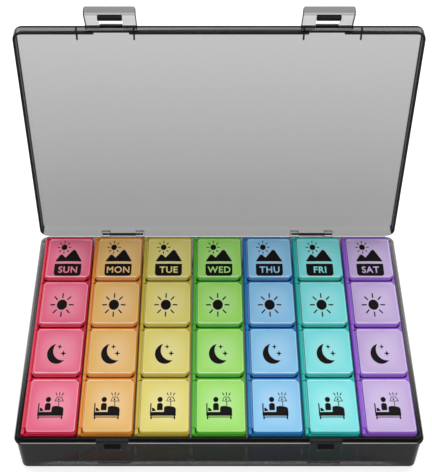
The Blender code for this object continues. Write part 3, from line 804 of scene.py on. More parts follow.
def caseLidShell():
    # The plate's top, down outside the skirt, round its foot and up inside it to the plate's underside
    skirt, foot, top = caseLid["skirt"], caseLid["skirtFoot"], caseLid["top"]
    corners = [
        (caseLid["capReach"], top, 0),
        (caseLid["edgeRound"] + caseLid["edgeRun"], top, 0),
        (0, top, caseLid["edgeRound"]),
        (0, darkFoot, 0),
        (0, darkFoot - caseLid["darkFade"], 0),
        (0, foot + caseLid["edgeBand"], 0),
        (0, foot, caseLid["footRound"]),
        (skirt, foot, caseLid["footRound"]),
        (skirt, foot + caseLid["edgeBand"], 0),
        (skirt, caseLid["underside"], caseLid["innerRound"]),
        (caseLid["capReach"], caseLid["underside"], 0),
    ]
    mesh = roundedShell(corners, case["halfX"], case["halfY"], case["corner"], lineSteps=6, steps=8)
    mesh.flip_normals()
    return mesh


def hingeKnuckle(x):
    # A barrel about the pin, which the foot of the rear skirt runs into
    profile = rodProfile(case["knuckle"] / 2, case["hingeRadius"], 0.25, tip=0.1)
    return turnedRod(profile, 0, (x, hinge[1], hinge[2]))


def earNotch(x):
    # Room for one of the tray's brackets beside the knuckle
    top = hinge[2] + case["hingeRadius"] + case["play"]
    low = (x, case["halfY"] - caseLid["skirt"] - overrun, caseLid["skirtFoot"] - 2 * overrun)
    high = (x + case["ear"] + 2 * case["play"], case["halfY"] + 4 * overrun, top)
    return softBlock(low, high, edge=0.1, corner=0.1)


def padNotch(x):
    # Room in the front skirt for the tray's latch pad
    front, half = -case["halfY"], caseLid["padNotch"] / 2
    low = (x - half, front - overrun, caseLid["skirtFoot"] - 2 * overrun)
    return softBlock(low, (x + half, front + caseLid["skirt"] + overrun, caseLid["padNotchTop"]))


def latchLug(x):
    # An arm off the front skirt that ends in a barrel about the latch's pin
    axis, root = latchAxis[1:], -case["halfY"] + caseLid["skirt"] / 2
    top = axis[1] + caseLid["barrel"]
    barrel = arc(axis, caseLid["barrel"], 90, 330, 25)
    under = top - caseLid["lugArm"]
    outline = [(root, top), *barrel.tolist(), (-case["halfY"], under), (root, under)]
    half = caseLid["lugWidth"] / 2
    return carried(outline, x - half, x + half, axis=0, edge=0.25)


def lugBore(x):
    return straightRod(caseLid["lugBoreHalf"], caseLid["lugBore"], 0, (x, latchAxis[1], latchAxis[2]))


def skirtGusset(x):
    # A triangle in the corner that runs out in a low rib along the plate
    front, top = -case["halfY"] + caseLid["skirt"] / 2, caseLid["underside"] + caseLid["gussetRoot"]
    reach, tail = caseLid["gussetReach"], caseLid["underside"] - caseLid["gussetTailDepth"]
    outline = [
        (front, top), (front, top - reach), (front + reach - top + tail, tail),
        (front + caseLid["gussetTail"], tail), (front + caseLid["gussetTail"], top),
    ]
    return carried(outline, x - caseLid["gusset"] / 2, x + caseLid["gusset"] / 2, axis=0)


def smokeLid():
    unions, cuts, gussets = [], [], []
    for side in (-1, 1):
        middle, knuckle, reach = side * latchSpread, side * case["hingeSpread"], case["knuckle"] / 2
        unions += [hingeKnuckle(knuckle), latchLug(middle)]
        gussets += [skirtGusset(middle - side * caseLid["gussetInner"])]
        gussets += [skirtGusset(middle + side * caseLid["gussetOuter"])]
        cuts += [padNotch(middle), lugBore(middle), hingeBore(knuckle, reach + overrun)]
        cuts += [earNotch(knuckle + reach), earNotch(knuckle - reach - case["ear"] - 2 * case["play"])]
    mesh = shaped(caseLidShell(), unions, cuts)
    x, y, z = pointsOf(mesh).T
    # The side skirts, the free edge and the outer edge are looked into end on
    sideways = case["halfX"] - np.abs(x)
    inward = np.minimum(sideways, case["halfY"] - np.abs(y))
    front = y < -case["halfY"] + caseLid["skirt"] + touch
    freeEdge = (z < caseLid["skirtFoot"] + caseLid["footBand"]) & (y < case["halfY"] - case["corner"])
    freeEdge &= (inward > -touch) & (inward < caseLid["skirt"] + caseLid["edgeRun"])
    sideSkirt = (sideways < caseLid["skirt"] + caseLid["sideBand"]) & (z < caseLid["top"] - touch)
    outerEdge = (z > darkFoot - touch / 2) & (y < 0)
    outerEdge &= (inward < caseLid["darkReach"]) & (inward > -touch / 2)
    notchRim = (z < caseLid["padNotchTop"] + caseLid["footBand"]) & front & (inward > -touch)
    notchRim &= np.abs(np.abs(x) - latchSpread) < caseLid["padNotch"] / 2 + caseLid["notchBand"]
    dark = freeEdge | sideSkirt | outerEdge | notchRim
    frontSkirt = np.where(front, caseLid["frontSkirtAlpha"], 0.0)
    setAttribute(mesh, "edgeDepth", np.where(dark, smokeLook["edgeAlpha"], frontSkirt))
    for gusset in gussets:
        setAttribute(gusset, "edgeDepth", smokeLook["edgeAlpha"])
    mesh = movedCopy(joined([mesh, *gussets]), openLid)
    makePiece("smokeLid", mesh, "case_lid", lidSmoke, ["case_lid"])


smokeLid()
print("case lid made")


# Latches, modelled shut about their own axis, and the pins

latch = {
    "width": 28.0,
    "barrel": 1.6,
    "plate": 1.5,
    "plateOffset": 0.1,
    "hookTop": -8.7,
    "hookFoot": -11.7,
    "hookWidth": 13.2,
    "hookReach": 1.5,
    "hookAlpha": 0.99,
    "windowHalf": 6.5,
    "tab": 5.0,
    "flare": 30.0,
    "innerBend": 1.0,
    "outerBend": 2.0,
    "tipRound": 0.5,
    "tabCorner": 3.0,
    "tabAlpha": 0.52,
    "edgeStrip": 0.5,  # the sides, looked into end on, are skins of their own
    "edgeAlpha": 0.75,
    "pin": 0.7,
    "pinLength": 27.0,
    "pinRound": 0.2,
    "openAngle": -joints["latch_left_hinge"]["range_deg"][0],
}


def latchOutline():
    # Barrel, flat plate on its outer side and a flared finger tab, as (y, z) about the pin
    flare = math.radians(latch["flare"])
    inner = -latch["plateOffset"]
    outer = inner - latch["plate"]
    down = np.array((-math.sin(flare), -math.cos(flare)))
    across = np.array((-math.cos(flare), math.sin(flare)))
    bend = np.array((inner, latch["hookFoot"]))
    tip = bend + latch["tab"] * down
    outerTip = tip + latch["plate"] * across
    outerBend = outerTip - (outerTip[0] - outer) / down[0] * down
    barrel = arc((0, 0), latch["barrel"], 180, -90, 28)
    ends = roundedLine([
        (inner, -latch["barrel"], 0), (*bend, latch["innerBend"]), (*tip, latch["tipRound"]),
        (*outerTip, latch["tipRound"]), (*outerBend, latch["outerBend"]), (outer, 0, 0),
    ])
    return np.concatenate((barrel, ends))


def latchMesh():
    half, strip, outline = latch["width"] / 2, latch["edgeStrip"], latchOutline()
    foot = latch["hookFoot"] - latch["tab"] * math.cos(math.radians(latch["flare"]))
    hook = softBlock(
        (-latch["hookWidth"] / 2, -latch["plateOffset"] - latch["plate"] / 2, latch["hookFoot"]),
        (latch["hookWidth"] / 2, latch["hookReach"], latch["hookTop"]), corner=0.4,
    )
    past = 4 * overrun
    window = softBlock(
        (-latch["windowHalf"], -past, latch["hookTop"]), (latch["windowHalf"], past, past),
        edge=0.05, corner=0.05,
    )
    bores = [straightRod(half + overrun, latch["pin"] + case["boreGap"], 0, (0, 0, 0)) for _ in range(3)]
    meshes = [shaped(carried(outline, strip - half, half - strip, axis=0), cuts=[window, bores[0]])]
    for low, bore in zip((-half, half - strip), bores[1:]):
        meshes.append(shaped(carried(outline, low, low + strip, axis=0, edge=0.2), cuts=[bore]))
    # The front view, with the tab's corners rounded, keeps what lies inside it
    top, depth = 3 * overrun, 9 * overrun
    corners = [
        (half, top, 0.4), (-half, top, 0.4),
        (-half, foot, latch["tabCorner"]), (half, foot, latch["tabCorner"]),
    ]
    front = roundedLine(corners, steps=8, closed=True)
    flap = joined([combined(mesh, "INTERSECT", [carried(front, -depth, depth, axis=1)]) for mesh in meshes])
    x, _, z = pointsOf(flap).T
    tab = np.where(z < latch["hookFoot"] - touch / 2, latch["tabAlpha"], 0.0)
    side = np.abs(x) > half - strip + touch / 10
    setAttribute(flap, "edgeDepth", np.where(side, latch["edgeAlpha"], tab))
    setAttribute(hook, "edgeDepth", latch["hookAlpha"])
    return joined([flap, hook])


def makeLatches():
    flap = latchMesh()
    profile = rodProfile(latch["pinLength"] / 2, latch["pin"], latch["pinRound"])
    for side, place in latchPlaces.items():
        shut = Matrix.Translation((place[0], latchAxis[1], latchAxis[2]))
        swung = openLid @ shut @ Matrix.Rotation(-math.radians(latch["openAngle"]), 4, "X")
        makePiece(
            f"flipLatch_{side}", movedCopy(flap, swung), f"latch_{side}", latchSmoke,
            [f"latch_{side}"],
        )
        pin = movedCopy(turnedRod(profile, 0, (0, 0, 0), sides=24), Matrix.Translation(place))
        makePiece(f"latchPin_{side}", pin, "case_lid", pinPlastic, [f"latch_pin_{side}"])


def makeHingePins():
    profile = rodProfile(case["knuckle"] / 2 + case["ear"], case["hingePin"], latch["pinRound"])
    for side, name in ((-1, "left"), (1, "right")):
        pin = turnedRod(profile, 0, (side * case["hingeSpread"], hinge[1], hinge[2]))
        makePiece(f"hingePin_{name}", pin, "tray", pinPlastic, [f"hinge_pin_{name}"])


makeLatches()
makeHingePins()
print("latches and pins made")


# Day boxes, modelled about the middle of their underside

dayBox = {
    "width": 30.4,
    "length": 146.8,
    "bottom": 1.9,
    "height": 27.0,
    "corner": 2.5,
    "draft": 0.8,
    "footRound": 1.2,
    "rimRound": 0.4,
    "rimRun": 1.0,
    "capReach": 5.0,
    "wall": 1.2,
    "floor": 1.2,
    "scoop": 5.0,
    "floorFillet": 1.4,
    "cellCorner": 1.6,
    "earLength": 4.2,
    "earRoot": 0.5,
    "barrel": 1.1,
    "margin": 0.2,
    "seatDrop": 0.9,
    "bore": 0.65,
    "boreReach": 1.4,
}
rowPlaces = [jointPlace(f"lid_sunday_{part}_hinge")[1] for part in dayParts]
rowPitch = rowPlaces[0] - rowPlaces[1]
lastRow = len(rowPlaces) - 1
lidHingeHeight = jointPlace("lid_sunday_morning_hinge")[2]
lidAxis = (-dayBox["width"] / 2 + dayBox["margin"] + dayBox["barrel"], lidHingeHeight - dayBox["bottom"])
barrelHalf = (rowPitch - dayBox["earLength"]) / 2 - case["play"]
columnPlaces = {}
for day in days:
    low, high = nodeBox(f"day_box_{day}")
    columnPlaces[day] = (low[0] + high[0]) / 2


def boxShell():
    height = dayBox["height"]
    corners = [
        (dayBox["capReach"], 0, 0), (dayBox["draft"], 0, dayBox["footRound"]),
        (0, height, dayBox["rimRound"]), (dayBox["rimRun"], height, 0),
    ]
    return roundedShell(corners, dayBox["width"] / 2, dayBox["length"] / 2, dayBox["corner"], lineSteps=5)


def compartment(low, high):
    # The floor sweeps up into the long sides in a wide scoop and meets the short sides in a small fillet
    halfX, halfY = dayBox["width"] / 2 - dayBox["wall"], (high - low) / 2
    height = dayBox["height"]
    turn = np.linspace(0, np.pi / 2, 9)
    insetX = np.concatenate((dayBox["draft"] + dayBox["scoop"] * (1 - np.sin(turn)), (0, 0)))
    insetY = np.concatenate((dayBox["floorFillet"] * (1 - np.sin(turn)), (0, 0)))
    rise = dayBox["floor"] + dayBox["scoop"] * (1 - np.cos(turn))
    rise = np.concatenate((rise, (height, height + overrun)))
    profile = np.stack((insetX, insetY, rise), axis=1)
    rings = ringStack(profile, halfX, halfY, dayBox["cellCorner"], steps=4)
    return ringsMesh(rings + (0, (low + high) / 2, 0))


def barrelEar(middle):
    # A round-topped block over a cross wall, which holds the stub pins of the lids beside it
    x, radius = lidAxis[0], dayBox["barrel"]
    foot = dayBox["height"] - dayBox["seatDrop"] - dayBox["earRoot"]
    dome = arc(lidAxis, radius, 0, 180, 17)
    outline = [(x - radius, foot), (x + radius, foot), *dome.tolist()]
    half, end = dayBox["earLength"] / 2, dayBox["length"] / 2 - dayBox["margin"]
    return carried(outline, max(middle - half, -end), min(middle + half, end), axis=1, edge=0.2)


def lidSeat(middle):
    # The rim is lower beside a lid's barrel, so that the lid can turn
    half, seat = barrelHalf + case["play"], dayBox["height"] - dayBox["seatDrop"]
    low = (-dayBox["width"] / 2 - 2 * overrun, middle - half, seat)
    high = (lidAxis[0] + dayBox["barrel"] + case["play"], middle + half, seat + 4 * overrun)
    return softBlock(low, high, edge=0.1, corner=0.1)


def stubBore(middle):
    half = barrelHalf + dayBox["boreReach"]
    return straightRod(half, dayBox["bore"], 1, (lidAxis[0], middle, lidAxis[1]), sides=16)


def dayBoxMesh():
    edge = dayBox["length"] / 2 - dayBox["wall"] - dayBox["draft"] / 2
    reach = (rowPitch - dayBox["wall"]) / 2
    cuts = []
    for row, middle in enumerate(rowPlaces):
        low = middle - reach if row < lastRow else -edge
        high = middle + reach if row > 0 else edge
        cuts += [compartment(low, high), lidSeat(middle), stubBore(middle)]
    ears = [barrelEar(middle + rowPitch / 2) for middle in rowPlaces]
    ears.append(barrelEar(rowPlaces[-1] - rowPitch / 2))
    return shaped(boxShell(), ears, cuts)


# Compartment lids, modelled about the middle of their hinge axis

cellLid = {
    "left": 1.4,
    "right": 28.9,
    "bottom": -0.2,
    "shoulder": 0.7,
    "top": 1.9,
    "hingeBevel": 0.6,
    "sideBevel": 0.9,
    "rowBevel": 2.0,
    "backBevel": 3.0,
    "rowGap": 1.2,
    "backReach": 0.6,
    "frontReach": 1.9,
    "corner": 2.0,
    "faceCorner": 1.3,
    "notch": 3.2,
    "notchRound": 0.7,
    "edgeFillet": 0.35,
    "faceFillet": 0.55,
    "crown": 0.4,
    "crownRings": 12,
    "innermostRing": 0.04,  # as a share of the face
    "facet": 2.6,
    "wall": 1.4,
    "pocket": 0.9,
    "pocketInset": (1.3, 2.2),
    "barrel": 1.1,
    "stub": 0.5,
    "stubLength": 1.2,
    "webBack": 0.2,
    "webReach": 0.6,
    "lowerGlow": 0.6,
    "lowerBand": 0.06,
    "rimDrop": 0.2,  # the lit rim lies between these depths below the face
    "rimSkin": 0.015,
}


def lidOutline(row, share):
    # The plan of the cap drawn in by a share of each side's bevel; finger notches cut the right-hand corners
    # that meet another row, at 45 degrees.
    reach = (rowPitch - cellLid["rowGap"]) / 2
    back = reach + (cellLid["backReach"] if row == 0 else 0)
    front = reach + (cellLid["frontReach"] if row == lastRow else 0)
    backBevel = cellLid["backBevel"] if row == 0 else cellLid["rowBevel"]
    frontBevel = cellLid["sideBevel"] if row == lastRow else cellLid["rowBevel"]
    left = cellLid["left"] + cellLid["hingeBevel"] * share
    right = cellLid["right"] - cellLid["sideBevel"] * share
    back, front = back - backBevel * share, -front + frontBevel * share
    radius = cellLid["corner"] + (cellLid["faceCorner"] - cellLid["corner"]) * share
    slant, notchRound = cellLid["sideBevel"] * math.sqrt(2) - cellLid["sideBevel"], cellLid["notchRound"]
    corners = []
    if row > 0:
        leg = cellLid["notch"] + (slant - backBevel) * share
        corners += [(right, back - leg, notchRound), (right - leg, back, notchRound)]
    else:
        corners += [(right, back, radius)]
    corners += [(left, back, radius), (left, front, radius)]
    if row < lastRow:
        leg = cellLid["notch"] + (slant - frontBevel) * share
        corners += [(right - leg, front, notchRound), (right, front + leg, notchRound)]
    else:
        corners += [(right, front, radius)]
    return corners


def faceFrame(row):
    # Middle and half sizes of the flat face
    points = np.array(lidOutline(row, 1))[:, :2]
    return (points.min(0) + points.max(0)) / 2, (points.max(0) - points.min(0)) / 2


def crownHeight(row, x, y):
    # A low pillow: the crown's height times (1 - x squared)(1 - y squared), with x and y as shares of the
    # face's half sizes
    middle, half = faceFrame(row)
    shareX, shareY = np.clip((x - middle[0]) / half[0], -1, 1), np.clip((y - middle[1]) / half[1], -1, 1)
    return cellLid["crown"] * (1 - shareX**2) * (1 - shareY**2)


def lidCap(row):
    # Rings up the edge and the bevel by shares of the bevel, then smaller and smaller copies over the crown
    bevel = cellLid["sideBevel"]
    line = roundedLine(
        [
            (0, cellLid["bottom"], 0),
            (0, cellLid["shoulder"], cellLid["edgeFillet"]),
            (bevel, cellLid["top"], cellLid["faceFillet"]),
            (2 * bevel, cellLid["top"], 0),
        ],
        steps=6,
    )[:-1]
    outer = roundedLine(lidOutline(row, 0), steps=5, closed=True)
    runs = np.linalg.norm(np.roll(outer, -1, axis=0) - outer, axis=1)
    parts = np.maximum(np.round(runs / cellLid["facet"]), 1).astype(int)
    rings = []
    for inset, height in line:
        flat = divided(roundedLine(lidOutline(row, inset / bevel), steps=5, closed=True), parts)
        rings.append(np.column_stack((flat, np.full(len(flat), height))))
    face, middle = rings[-1], np.append(faceFrame(row)[0], cellLid["top"])
    for shrink in np.linspace(1, cellLid["innermostRing"], cellLid["crownRings"] + 1)[1:]:
        rings.append(middle + (face - middle) * (shrink, shrink, 1))
    rings = np.array(rings)
    onFace = rings[..., 2] > cellLid["top"] - 3 * touch
    rings[..., 2] += np.where(onFace, crownHeight(row, rings[..., 0], rings[..., 1]), 0)
    return ringsMesh(rings)


def cellLidMesh(row):
    barrel = turnedRod(rodProfile(barrelHalf, cellLid["barrel"], 0.25), 1, (0, 0, 0), sides=24)
    profile = rodProfile(barrelHalf + cellLid["stubLength"], cellLid["stub"], 0.12)
    stub = turnedRod(profile, 1, (0, 0, 0), sides=16)
    bottom, webEnd = cellLid["bottom"], barrelHalf - touch
    web = softBlock(
        (-cellLid["webBack"], -webEnd, bottom + tray["seam"]),
        (cellLid["left"] + cellLid["webReach"], webEnd, cellLid["shoulder"] - touch / 2),
        edge=0.1, corner=0.1,
    )
    outline = np.array(lidOutline(row, 1))[:, 1]
    insetX, insetY = np.array(cellLid["pocketInset"]) + cellLid["wall"]
    pocket = softBlock(
        (cellLid["left"] + insetX, outline.min() + insetY, bottom - 3 * overrun),
        (cellLid["right"] - insetX, outline.max() - insetY, bottom + cellLid["pocket"]),
        edge=0.4, corner=1.6, steps=5,
    )
    mesh = shaped(lidCap(row), [barrel, stub, web], [pocket])
    # Painted highlights along the rounded rim of the face and, weaker, along the edge below the bevel
    x, _, z = pointsOf(mesh).T
    depth = cellLid["top"] - z
    faceRim = (depth < cellLid["rimDrop"]) & (depth > cellLid["rimSkin"]) & (x > cellLid["left"])
    lowerEdge = (np.abs(z - cellLid["shoulder"]) < cellLid["lowerBand"]) & (x > cellLid["left"] - touch)
    setAttribute(mesh, "edgeGlow", np.where(faceRim, 1.0, np.where(lowerEdge, cellLid["lowerGlow"], 0.0)))
    return mesh


def makeDayBoxes():
    box = dayBoxMesh()
    lids = [cellLidMesh(row) for row in range(len(dayParts))]
    for day in days:
        slot, pale, deep = dayColours[day]
        material = tintedPolypropylene(f"{slot}TintedPolypropylene", pale, deep)
        place = Matrix.Translation((columnPlaces[day], 0, dayBox["bottom"]))
        node = f"day_box_{day}"
        makePiece(f"pillRow_{day}", movedCopy(box, place), node, material, [node])
        for mesh, part in zip(lids, dayParts):
            node = f"lid_{day}_{part}"
            place = Matrix.Translation(jointPlace(f"{node}_hinge"))
            piece = movedCopy(mesh, place)
            makePiece(f"flipLid_{day}_{part}", piece, node, material, [node])


makeDayBoxes()
print("day boxes and lids made")


# Printed marks, as flat outlines; each row has its own stretch along Y

marks = {
    "morning": {"middle": (0.0, 51.2), "stretch": 1.34},
    "noon": {"middle": (-0.1, 16.5), "stretch": 1.29},
    "evening": {"middle": (0.3, -19.9), "stretch": 1.24},
    "bedtime": {"middle": (0.0, -62.3), "stretch": 1.21},
}
inkSheet = {"grid": 1.8, "sunk": 0.02, "proud": 0.03, "weld": 1e-4}
badge = {
    "left": -7.45,
    "right": 9.05,
    "top": -1.46,
    "foot": -8.6,
    "topCorner": 0.35,
    "footCorner": 1.8,
    "wordMiddle": (0.9, -5.0),
    "capHeight": 3.6,
    "wordScale": 11.3,  # width of the first day's name
    "bold": 0.14,
    "spacing": 1.1,
    "curvePoints": 7,
    "leastRun": 1e-5,  # shorter runs between points are left out
}
# Corners are (x, y, radius), with no radius where they are sharp; discs and stars are (x, y, reach), and
# strokes are (start, end, width).
drawing = {
    "morningSun": {"x": -2.6, "y": 8.83, "radius": 1.8, "rayFrom": 2.6, "rayTo": 4.2, "rayWidth": 0.55},
    "hills": [(-7.4, 0, 0.3), (-3.95, 4.9, 1.2), (-1.25, 2.2, 0.5), (3.9, 8.0, 1.3), (9.1, 0, 0.3)],
    "noonSun": {"x": 0, "y": 0, "radius": 3.05, "rayFrom": 4.1, "rayTo": 6.95, "rayWidth": 0.75},
    "moon": {"radius": 5.75, "innerRadius": 5.8, "offset": (3.35, 2.0)},
    "stars": [(1.1, 4.0, 1.5), (3.6, 0.15, 1.75)],
    "starWaist": 0.36,
    "bed": [
        (-6.9, 6.75, 0.1), (-6.25, 6.75, 0.1), (-6.25, 2.0, 0), (0.7, 2.0, 0), (0.7, 4.9, 0.9),
        (3.0, 5.3, 1.0), (7.3, 4.6, 1.6), (7.3, 0, 0), (7.0, 0, 0), (7.0, -1.85, 0.1), (6.25, -1.85, 0.1),
        (6.25, -0.95, 0), (-5.85, -0.95, 0), (-5.85, -1.85, 0.1), (-6.6, -1.85, 0.1), (-6.6, 0, 0),
        (-6.9, 0, 0),
    ],
    "slot": [(-5.95, -0.05), (6.3, -0.05), (6.3, -0.5), (-5.95, -0.5)],
    "pillow": [(-5.9, 4.3, 0.2), (-5.0, 4.2, 0.4), (-3.9, 3.1, 0.3), (-3.9, 2.5, 0.1), (-5.9, 2.5, 0.1)],
    "torso": [(-3.15, 2.9, 0.4), (-3.15, 6.85, 1.2), (0, 6.85, 1.2), (0, 2.9, 0.4)],
    "head": (-1.6, 8.8, 1.45),
    "stem": ((4.3, 7.75), (4.45, 5.15), 0.42),
    "shade": [(2.95, 10.35), (5.7, 10.35), (7.0, 7.8), (1.8, 7.8)],
    "shadeInside": [(3.2, 10.0), (5.4, 10.0), (6.4, 8.15), (2.35, 8.15)],
    "bulb": (4.1, 8.95, 0.5),
    "rays": [
        ((2.1, 12.6), (2.95, 11.1), 0.5), ((4.3, 12.9), (4.3, 11.1), 0.5), ((6.5, 12.6), (5.65, 11.1), 0.5),
    ],
}


def disc(x, y, radius, sides=40):
    turn = np.linspace(0, 2 * np.pi, sides, endpoint=False)
    return np.column_stack((x + radius * np.cos(turn), y + radius * np.sin(turn)))


def bar(start, end, width):
    # A thin straight stroke
    start, end = np.array(start, float), np.array(end, float)
    run = (end - start) / np.linalg.norm(end - start)
    across = np.array((-run[1], run[0])) * width / 2
    return np.array((start + across, start - across, end - across, end + across))


def sunburst(x, y, radius, rayFrom, rayTo, rayWidth):
    outlines = [disc(x, y, radius)]
    for turn in np.arange(8) * np.pi / 4:
        run = np.array((math.cos(turn), math.sin(turn)))
        outlines.append(bar((x, y) + rayFrom * run, (x, y) + rayTo * run, rayWidth))
    return outlines


def crescent(radius, innerRadius, offset):
    # The outer circle's arc on one side of the two circles' crossings, and the inner circle's arc back
    apart = np.linalg.norm(offset)
    axis = math.atan2(offset[1], offset[0])
    along = (apart**2 + radius**2 - innerRadius**2) / (2 * apart)
    rise = math.sqrt(radius**2 - along**2)
    outer, inner = math.atan2(rise, along), math.atan2(rise, along - apart)
    first = axis + np.linspace(outer, 2 * np.pi - outer, 48)
    back = axis + np.linspace(2 * np.pi - inner, inner, 40)[1:-1]
    far = np.column_stack((np.cos(first), np.sin(first))) * radius
    near = np.array(offset) + np.column_stack((np.cos(back), np.sin(back))) * innerRadius
    return np.concatenate((far, near))


def star(x, y, reach):
    # Four points with drawn-in sides
    turn = np.arange(8) * np.pi / 4
    length = np.where(np.arange(8) % 2, reach * drawing["starWaist"], reach)
    return np.column_stack((x + length * np.cos(turn), y + length * np.sin(turn)))


def thickened(outline, amount):
    # Every point moved sideways along the normals of both of its runs
    ahead = np.roll(outline, -1, axis=0) - outline
    ahead /= np.linalg.norm(ahead, axis=1)[:, None]
    normal = np.column_stack((ahead[:, 1], -ahead[:, 0]))
    before = np.roll(normal, 1, axis=0)
    length = np.maximum(1 + np.sum(normal * before, axis=1), 1.0)
    return outline + amount * (normal + before) / length[:, None]


def wordOutlines(word):
    curve = bpy.data.curves.new(word, "FONT")
    curve.body = word
    curve.space_character = badge["spacing"]
    thing = newObject(curve, word)
    bpy.context.view_layer.update()
    flat = thing.to_curve(bpy.context.evaluated_depsgraph_get())
    outlines = []
    for spline in flat.splines:
        knots = list(spline.bezier_points)
        points = []
        for knot, following in zip(knots, knots[1:] + knots[:1]):
            run = interpolate_bezier(
                knot.co, knot.handle_right, following.handle_left, following.co, badge["curvePoints"]
            )
            points += [tuple(point[:2]) for point in run[:-1]]
        points = np.array(points)
        step = np.linalg.norm(np.roll(points, -1, axis=0) - points, axis=1)
        outlines.append(points[step > badge["leastRun"]])
    thing.to_curve_clear()
    bpy.data.objects.remove(thing)
    bpy.data.curves.remove(curve)
    return outlines


def dayBadge(day):
    # A solid badge with the day's short name left out of it
    left, right, top, foot = badge["left"], badge["right"], badge["top"], badge["foot"]
    corners = [
        (left, top, badge["topCorner"]), (right, top, badge["topCorner"]),
        (right, foot, badge["footCorner"]), (left, foot, badge["footCorner"]),
    ]
    first = np.concatenate(wordOutlines(days[0][:3].upper()))
    size = first.max(0) - first.min(0)
    scale = np.array((badge["wordScale"], badge["capHeight"])) / size
    letters = [outline * scale for outline in wordOutlines(day[:3].upper())]
    every = np.concatenate(letters)
    move = np.array(badge["wordMiddle"]) - (every.min(0) + every.max(0)) / 2
    letters = [thickened(outline + move, badge["bold"]) for outline in letters]
    return [roundedLine(corners, steps=5, closed=True), *letters]


def markOutlines(part, day):
    if part == "morning":
        hills = roundedLine(drawing["hills"], steps=6, closed=True)
        return [*sunburst(**drawing["morningSun"]), hills, *dayBadge(day)]
    if part == "noon":
        return sunburst(**drawing["noonSun"])
    if part == "evening":
        return [crescent(**drawing["moon"]), *(star(*place) for place in drawing["stars"])]
    return [
        roundedLine(drawing["bed"], steps=5, closed=True),
        np.array(drawing["slot"]),
        roundedLine(drawing["pillow"], steps=4, closed=True),
        roundedLine(drawing["torso"], steps=5, closed=True),
        disc(*drawing["head"]),
        bar(*drawing["stem"]),
        np.array(drawing["shade"]),
        np.array(drawing["shadeInside"]),
        disc(*drawing["bulb"], sides=16),
        *(bar(*ray) for ray in drawing["rays"]),
    ]


def filledSheet(outlines):
    # A flat sheet inside the outlines, where one outline within another is a hole, cut along a square grid
    # and given a thickness: the upper skin lies at height 1 and the lower one at 0.
    starts = np.cumsum([0] + [len(outline) for outline in outlines[:-1]])
    turns = [np.arange(len(outline)) for outline in outlines]
    edges = np.concatenate([
        np.column_stack((turn, np.roll(turn, -1))) + start for turn, start in zip(turns, starts)
    ])
    every = np.concatenate(outlines)
    knots = [Vector(point) for point in every]
    points, _, faces, *_ = delaunay_2d_cdt(knots, edges.tolist(), [], 1, inkSheet["weld"])
    points, faces = np.array(points), np.array(faces)
    # A triangle is filled if a line from its middle to the right crosses the outlines an odd number of times
    middle = points[faces].mean(axis=1)[:, None]
    start, end = every[edges[:, 0]][None], every[edges[:, 1]][None]
    spans = (start[..., 1] > middle[..., 1]) != (end[..., 1] > middle[..., 1])
    rise = np.where(end[..., 1] == start[..., 1], 1, end[..., 1] - start[..., 1])
    crossing = start[..., 0] + (end[..., 0] - start[..., 0]) * (middle[..., 1] - start[..., 1]) / rise
    faces = faces[np.sum(spans & (middle[..., 0] < crossing), axis=1) % 2 == 1]
    flat = bpy.data.meshes.new("flat")
    flat.from_pydata(np.column_stack((points, np.zeros(len(points)))).tolist(), [], faces.tolist())
    body = bmesh.new()
    body.from_mesh(flat)
    bpy.data.meshes.remove(flat)
    for axis in (0, 1):
        for place in np.arange(every[:, axis].min(), every[:, axis].max(), inkSheet["grid"])[1:]:
            point, normal = Vector((0, 0, 0)), Vector((0, 0, 0))
            point[axis], normal[axis] = place, 1
            everything = [*body.verts, *body.edges, *body.faces]
            bmesh.ops.bisect_plane(body, geom=everything, plane_co=point, plane_no=normal)
    grown = bmesh.ops.extrude_face_region(body, geom=body.faces[:])
    for element in grown["geom"]:
        if isinstance(element, bmesh.types.BMVert):
            element.co.z = 1
    bmesh.ops.recalc_face_normals(body, faces=body.faces)
    sheet = bpy.data.meshes.new("sheet")
    body.to_mesh(sheet)
    body.free()
    return sheet


def inkMark(part, day):
    # The sheet follows the crown of its lid: its lower skin is sunk into it and its upper one stands proud
    row, look = dayParts.index(part), marks[part]
    axis = jointPlace(f"lid_{day}_{part}_hinge")
    place = np.array((columnPlaces[day] + look["middle"][0], look["middle"][1]))
    outlines = [outline * (1, look["stretch"]) + place for outline in markOutlines(part, day)]
    mesh = filledSheet(outlines)
    x, y, upper = pointsOf(mesh).T
    surface = axis[2] + cellLid["top"] + crownHeight(row, x - axis[0], y - axis[1])
    height = surface + np.where(upper > 0.5, inkSheet["proud"], -inkSheet["sunk"])
    movePoints(mesh, np.column_stack((x, y, height)))
    makePiece(f"inkMark_{day}_{part}", mesh, f"lid_{day}_{part}", ink)


for day in days:
    for part in dayParts:
        inkMark(part, day)
print("marks printed")


# Stage: floor, lights and camera

stage = {
    "floor": "a0a0a0",
    "floorGlow": 0.76,
    "floorReach": 6000,
    "paper": {"tooth": 2.5, "toothDepth": 0.02, "roughness": 0.9, "specular": 0.1},
    "world": 0.42,
    "aim": (0, 0, 30),  # what every light points at
    # Place, width, height and watts of each light
    "lights": {
        "backSoftbox": ((60, 640, 880), 560, 440, 3.0),
        "topSoftbox": ((0, -100, 1200), 900, 900, 4.5),
        "leftPanel": ((-760, 620, 640), 640, 480, 5.0),
        "rightPanel": ((760, 620, 640), 640, 480, 5.0),
    },
    "camera": {
        "place": (-6.5, -411.6, 550.9), "tilt": 43, "lens": 85.8, "sensor": 36, "shift": 0.019, "far": 20000,
    },
}


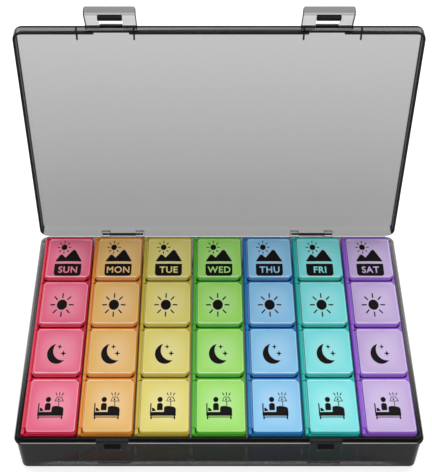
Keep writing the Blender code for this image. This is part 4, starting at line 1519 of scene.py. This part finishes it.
def addSoftbox(name, place, width, height, watts):
    light = bpy.data.lights.new(name, "AREA")
    light.shape = "RECTANGLE"
    light.size, light.size_y = width / 1000, height / 1000
    light.energy = watts
    thing = newObject(light, name)
    thing.location = Vector(place) / 1000
    thing.rotation_euler = (Vector(stage["aim"]) - Vector(place)).to_track_quat("-Z", "Y").to_euler()


def studioPaper():
    paper = stage["paper"]
    material, tree = newMaterial("studioPaper")
    bump = bumped(tree, noise(tree, paper["tooth"]), paper["toothDepth"])
    shader = addNode(
        tree, "BsdfPrincipled",
        {
            "Base Color": colour(stage["floor"]), "Roughness": paper["roughness"],
            "Specular IOR Level": paper["specular"],
            "Emission Color": (1, 1, 1, 1), "Emission Strength": stage["floorGlow"],
        },
        {"Normal": (bump, "Normal")},
    )
    finishMaterial(tree, shader)
    return material


def addFloor():
    reach = stage["floorReach"] / 1000
    corners = [(-reach, -reach, 0), (reach, -reach, 0), (reach, reach, 0), (-reach, reach, 0)]
    mesh = bpy.data.meshes.new("floor")
    mesh.from_pydata(corners, [], [(0, 1, 2, 3)])
    mesh.materials.append(studioPaper())
    floor = newObject(mesh, "floor")


def addWorld():
    world = bpy.data.worlds.new("studio")
    bpy.context.scene.world = world
    world.use_nodes = True
    tree = world.node_tree
    tree.nodes.clear()
    sky = addNode(tree, "Background", {"Color": (1, 1, 1, 1), "Strength": stage["world"]})
    addNode(tree, "OutputWorld", None, {"Surface": (sky, "Background")})


def addCamera():
    look = stage["camera"]
    camera = bpy.data.cameras.new("camera")
    camera.lens = look["lens"]
    camera.sensor_width = look["sensor"]
    camera.sensor_fit = "AUTO"
    camera.shift_x = look["shift"]
    camera.clip_end = look["far"] / 1000
    thing = newObject(camera, "camera")
    thing.location = np.array(look["place"]) / 1000
    thing.rotation_euler = (math.radians(look["tilt"]), 0, 0)
    bpy.context.scene.camera = thing
    bpy.context.scene.view_settings.view_transform = "Standard"


addFloor()
addWorld()
for name, light in stage["lights"].items():
    addSoftbox(name, *light)
addCamera()
